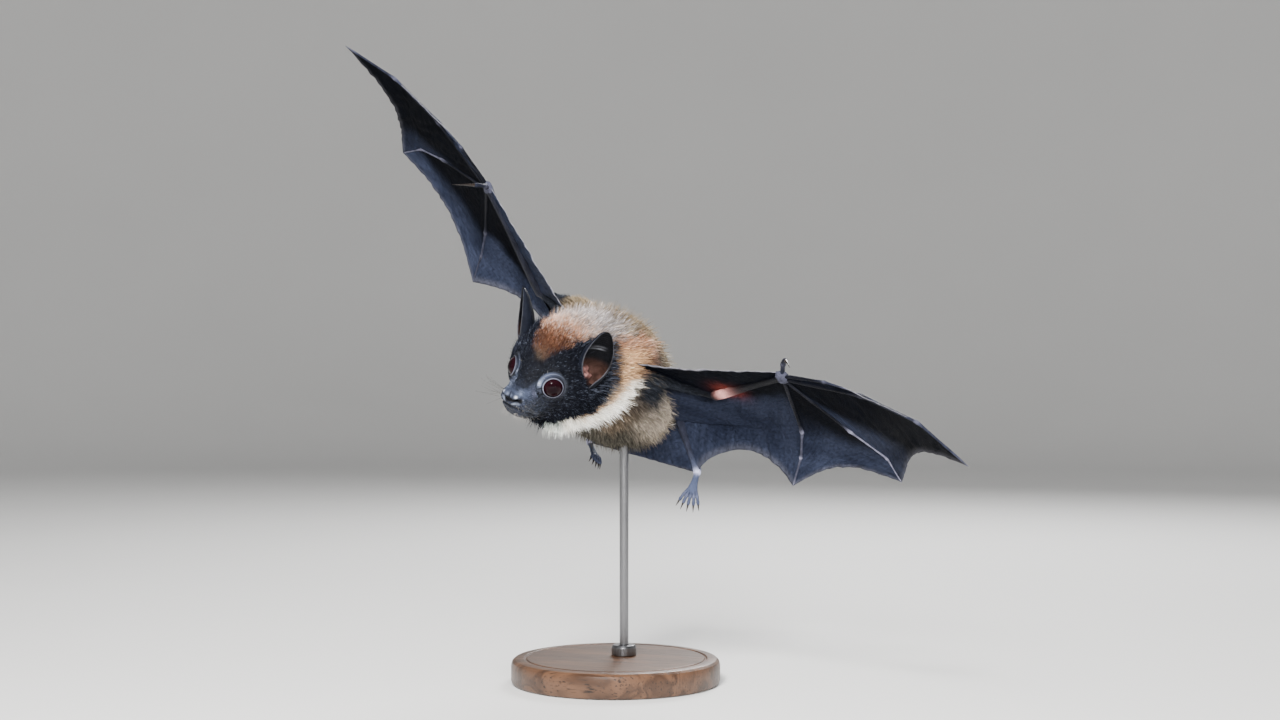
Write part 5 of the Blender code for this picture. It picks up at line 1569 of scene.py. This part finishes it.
def coat(name, slot, places, points, out, lie, length, tilt, width, root, tip, source, swirl=12):
    """One piece of coat from its roots; lengths in millimetres, angles in degrees."""
    turn_by = np.radians(swirl * waves(points, 11, 70) + 7 * waves(points, 3, 71)
                         + source.normal(0, 8, len(points)))[:, None]
    side_ways = np.cross(out, lie)
    lie = lie * np.cos(turn_by) + side_ways * np.sin(turn_by)
    tilt = np.radians(np.clip(tilt + 4 * waves(points, 4, 72) + source.normal(0, 7, len(points)),
                              4, 75))[:, None]
    aim = unit(lie * np.cos(tilt) + out * np.sin(tilt))
    length = length * (1 + 0.11 * waves(points, 3.4, 73)) * source.uniform(0.65, 1.25, len(points))
    shade = np.exp(0.15 * waves(points, 2.6, 74) + 0.10 * waves(points, 9, 75)
                   + source.normal(0, 0.36, len(points)))[:, None]
    bend = 0.22 * float(np.mean(length / width))
    size = np.stack([width, width, length], -1) * MM
    made = grown(moved(points - out * 0.12, trunk_to_world) * MM, [],
                 {"lie": turned(aim, trunk_to_world), "out": turned(out, trunk_to_world),
                  "size": size, "root_tone": np.clip(root * shade, 0.002, 1),
                  "tip_tone": np.clip(tip * shade, 0.002, 1),
                  "root_place": np.column_stack([places * 0.99 + 0.003, np.zeros(len(places))])},
                 TUFTS, f"coat_{name}", Bend=bend, Fur=fur)
    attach(made, "root")
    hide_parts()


cell = np.linalg.norm(np.cross(np.diff(flesh, axis=0), (np.roll(flesh, -1, 1) - flesh)[:-1]),
                      axis=-1)
for number, (name, first_v, last_v, density, longer, steeper, slimmer) in enumerate(COAT_BANDS):
    source = np.random.default_rng(100 + number)
    inside = (row_v[:-1] >= first_v) & (row_v[:-1] < last_v)
    area = cell[inside].sum()
    band = flesh[:-1][inside]
    girth = np.linalg.norm(np.roll(band, -1, 1) - band, axis=-1).sum(1).mean()
    count = min(area * density, 19500)
    columns = round((count * girth / (area / girth)) ** 0.5)
    places = lattice(round(count / columns), columns, source)
    v = first_v + (last_v - first_v) * places[:, 1]
    r = np.interp(v, row_v, np.arange(len(row_v)))
    c = places[:, 0] * BODY_SIDES
    points, out, lie = rooted(pelt, pelt_normals, pelt_lie, r, c)
    phi = np.degrees(np.arcsin(np.sin(2 * pi * places[:, 0])))
    chance = source.uniform(size=len(v))
    root, tip = markings(v, phi, points, chance)
    length = np.interp(v, *COAT_LENGTH)
    edge = np.interp(phi, *MASK_EDGE)
    length = length * (1 + 0.45 * over(v, 8.2, 11, 0.3) * (v > edge) * (phi < 0))
    tilt = np.interp(v, *COAT_TILT) + steeper
    width = np.clip(length * 0.052, 0.075, 0.30) * source.uniform(0.7, 1.3, len(v)) * slimmer
    length = length * longer * (1 + 0.8 * np.exp(-((v - 15.0) / 0.5) ** 2 - ((phi - 25) / 9) ** 2))
    gap = bilinear(eye_gap[..., None], r, c)[:, 0]
    keep = gap > source.uniform(0, 1.7, len(v)) ** 2 / 1.7
    keep &= source.uniform(size=len(v)) < smooth(0.7, 1.3, v)
    keep &= bilinear(ear_gap[..., None], r, c)[:, 0] > 1.1
    slot = "mask_fur" if v[-1] < 8.3 else "collar_fur" if v[-1] < 15.1 else "body_fur"
    coat(name, slot, places[keep], points[keep], out[keep], lie[keep], length[keep], tilt[keep],
         width[keep], root[keep], tip[keep], source)


# painted shade: the left arm and left thigh take the dark shadow and mask coats, darker than the
# right ones
LIMB_COATS = (("shadow", "shaded_belly"), ("olive", "nape"), ("mask", "shaded_belly"),
              ("olive", "shaded_belly"))      # left and right arm, left and right thigh
for number, (rings, thickness) in enumerate(coated_limbs):
    source = np.random.default_rng(200 + number)
    out_grid, lie_grid = grid_normals(rings, True)
    rows, columns = rings.shape[:2]
    run = np.linalg.norm(np.diff(rings.mean(1), axis=0), axis=-1).sum()
    girth = np.linalg.norm(np.roll(rings, -1, 1) - rings, axis=-1).sum(1).mean()
    around = round((4.2 * girth * girth) ** 0.5)
    places = lattice(round(around * run / girth), around, source)
    r, c = places[:, 1] * (rows - 1), places[:, 0] * columns
    points, out, lie = rooted(rings, out_grid, lie_grid, r, c)
    depth = np.interp(r, np.arange(rows), thickness)
    length = 1.1 + depth * 1.45
    keep = depth > 0.25 + source.uniform(0, 0.35, len(depth))
    chance = source.uniform(size=len(depth))[:, None]
    dark, pale = (COATS[name] for name in LIMB_COATS[number])
    root = np.where(chance < 0.7, dark[0], pale[0])
    tip = np.where(chance < 0.7, dark[1], pale[1])
    near_elbow = smooth(0.2, 0.45, places[:, 1]) * (number < 2)
    root = dyed(root, COATS["mask"][0], near_elbow)
    tip = dyed(tip, COATS["shadow"][1], near_elbow)
    coat(f"limb_{number}", "body_fur", places[keep], points[keep], out[keep], lie[keep],
         length[keep], np.full(keep.sum(), 42.0), np.clip(length[keep] * 0.045, 0.09, 0.2),
         root[keep], tip[keep], source)


# ---- whiskers and bristles
# Long stiff whiskers stand out of the pads beside the nose, and short bristles fringe the
# lips, chin and brows. Each is a single hair, rooted in the hide and drawn to a point.
WHISKER_GROUPS = (           # count, along, around, length, radius, lean ahead, share of pale
    (13, (1.3, 2.9), (-14, 26), (8.0, 15.0), 0.060, 0.30, 0.0),
    (44, (1.5, 4.4), (-80, -44), (2.0, 4.2), 0.036, -0.35, 0.7),
    (16, (0.7, 2.4), (-24, 10), (1.0, 2.0), 0.030, -0.2, 0.5),
    (8, (4.3, 5.6), (50, 72), (2.5, 5.0), 0.035, 0.1, 0.2),
)
bristle, tree, shader, place = new_material("whisker")
shade = stored(tree, "shade")
bands = noise(tree, place, 300.0)
set_shader(shader, Base_Color=(shade * 0.8 + bands * 0.3 - 0.1).clamped().blend(
    (0.010, 0.009, 0.010), (0.46, 0.43, 0.39)), Roughness=bands * 0.2 + 0.3)
source = np.random.default_rng(300)
hide_out, hide_lie = grid_normals(flesh, True)
lines, girths, shades = [], [], []
for count, rows, turns, reach, radius, ahead, pale in WHISKER_GROUPS:
    for side in LEFT_RIGHT.values():
        v = source.uniform(*rows, count)
        around = source.uniform(*turns, count)
        around = around if side > 0 else 180 - around
        r, c = np.interp(v, row_v, np.arange(len(row_v))), around / 360 * BODY_SIDES
        roots, out = bilinear(flesh, r, c), unit(bilinear(hide_out, r, c))
        lie = unit(bilinear(hide_lie, r, c))
        aim = unit(out - ahead * lie + source.normal(0, 0.16, (count, 3)))
        droop = lie * 0.28 + source.normal(0, 0.06, (count, 3))
        length = source.uniform(*reach, count)[:, None]
        for i in range(count):
            t = np.linspace(0, 1, 8)[:, None]
            lines.append(roots[i] - out[i] * 0.3 + length[i] * (aim[i] * t + droop[i] * t * t))
            girths.append(radius * (1 - 0.75 * t[:, 0]))
            shades.append(float(source.uniform() < pale))
strands("whiskers", lines, girths, shades, 5, bristle, "mask_fur")


# ---- display stand
# A disc of dark oiled hardwood, turned with a soft edge and a fine groove, carries a brushed
# steel rod. The rod ends inside the belly, and a steel collar grips it on the wood.
BASE_PROFILE = ((0, 0), (55.5, 0), (57.3, 0.6), (58.0, 2.2), (58.0, 10.2), (57.4, 12.4),
                (56.0, 13.6), (54.0, 14.0), (50.8, 14.0), (50.3, 13.3), (49.6, 13.3),
                (49.1, 14.0), (0, 14.0))
ROD_AT = (2.0, 8.0)
LATHE_STEPS = 128
ROD_PROFILE = ((0, 8.0), (2.5, 8.0), (2.5, 144.0), (0, 144.0))
COLLAR_PROFILE = ((2.5, 14.02), (6.6, 14.02), (7.0, 14.4), (7.0, 18.6), (6.2, 20.0), (2.5, 20.0))


def turned_piece(name, profile, centre, finish, closed=False):
    """A piece turned on a lathe: a profile of radius and height spun about a place."""
    mesh = turned_mesh(name + "_turned", [(radius * MM, height * MM) for radius, height in profile],
                       LATHE_STEPS, (centre[0] * MM, centre[1] * MM), closed)
    mesh.materials.append(finish)
    made = shown(name + "_turned", mesh)
    edge_break = made.modifiers.new("edges", "BEVEL")
    edge_break.width, edge_break.segments, edge_break.limit_method = 0.25 * MM, 2, "ANGLE"
    edge_break.angle_limit = radians(25)
    edge_break.harden_normals = True
    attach(made, "root")
    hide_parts(name)


wood, tree, shader, place = new_material("oiled_wood")
along_grain = stretched(tree, place, (9.0, 120.0, 60.0))
figure = noise(tree, along_grain, 1.0, Detail=6.0, Distortion=0.6)
pores = stretched(tree, place, (60.0, 1500.0, 900.0))
pores = noise(tree, pores, 1.0, Detail=3.0)
rings = (figure * 24.0).maths("SINE") * 0.5 + 0.5
colour = (rings * 0.45 + figure * 0.5).clamped().blend((0.018, 0.009, 0.0055),
                                                       (0.105, 0.052, 0.028))
colour = pores.ramp(0.56, 0.70).blend(colour, (0.010, 0.006, 0.004))
set_shader(shader, Base_Color=colour, Roughness=pores * 0.2 + 0.30,
           Normal=bumped(tree, rings * 0.3 - pores.ramp(0.56, 0.7) * 0.7, 0.35, 0.0002))
steel, tree, shader, place = new_material("brushed_steel")
brushed = stretched(tree, place, (2500.0, 2500.0, 90.0))
brushed = noise(tree, brushed, 1.0, Detail=3.0)
set_shader(shader, Base_Color=brushed.blend((0.16, 0.16, 0.17), (0.30, 0.30, 0.31)),
           Roughness=brushed * 0.25 + 0.22, Normal=bumped(tree, brushed, 0.15, 0.00008),
           Metallic=1.0)
turned_piece("stand_base", BASE_PROFILE, (0.0, 0.0), wood)
turned_piece("stand_rod", ROD_PROFILE, ROD_AT, steel)
turned_piece("stand_collar", COLLAR_PROFILE, ROD_AT, steel, closed=True)
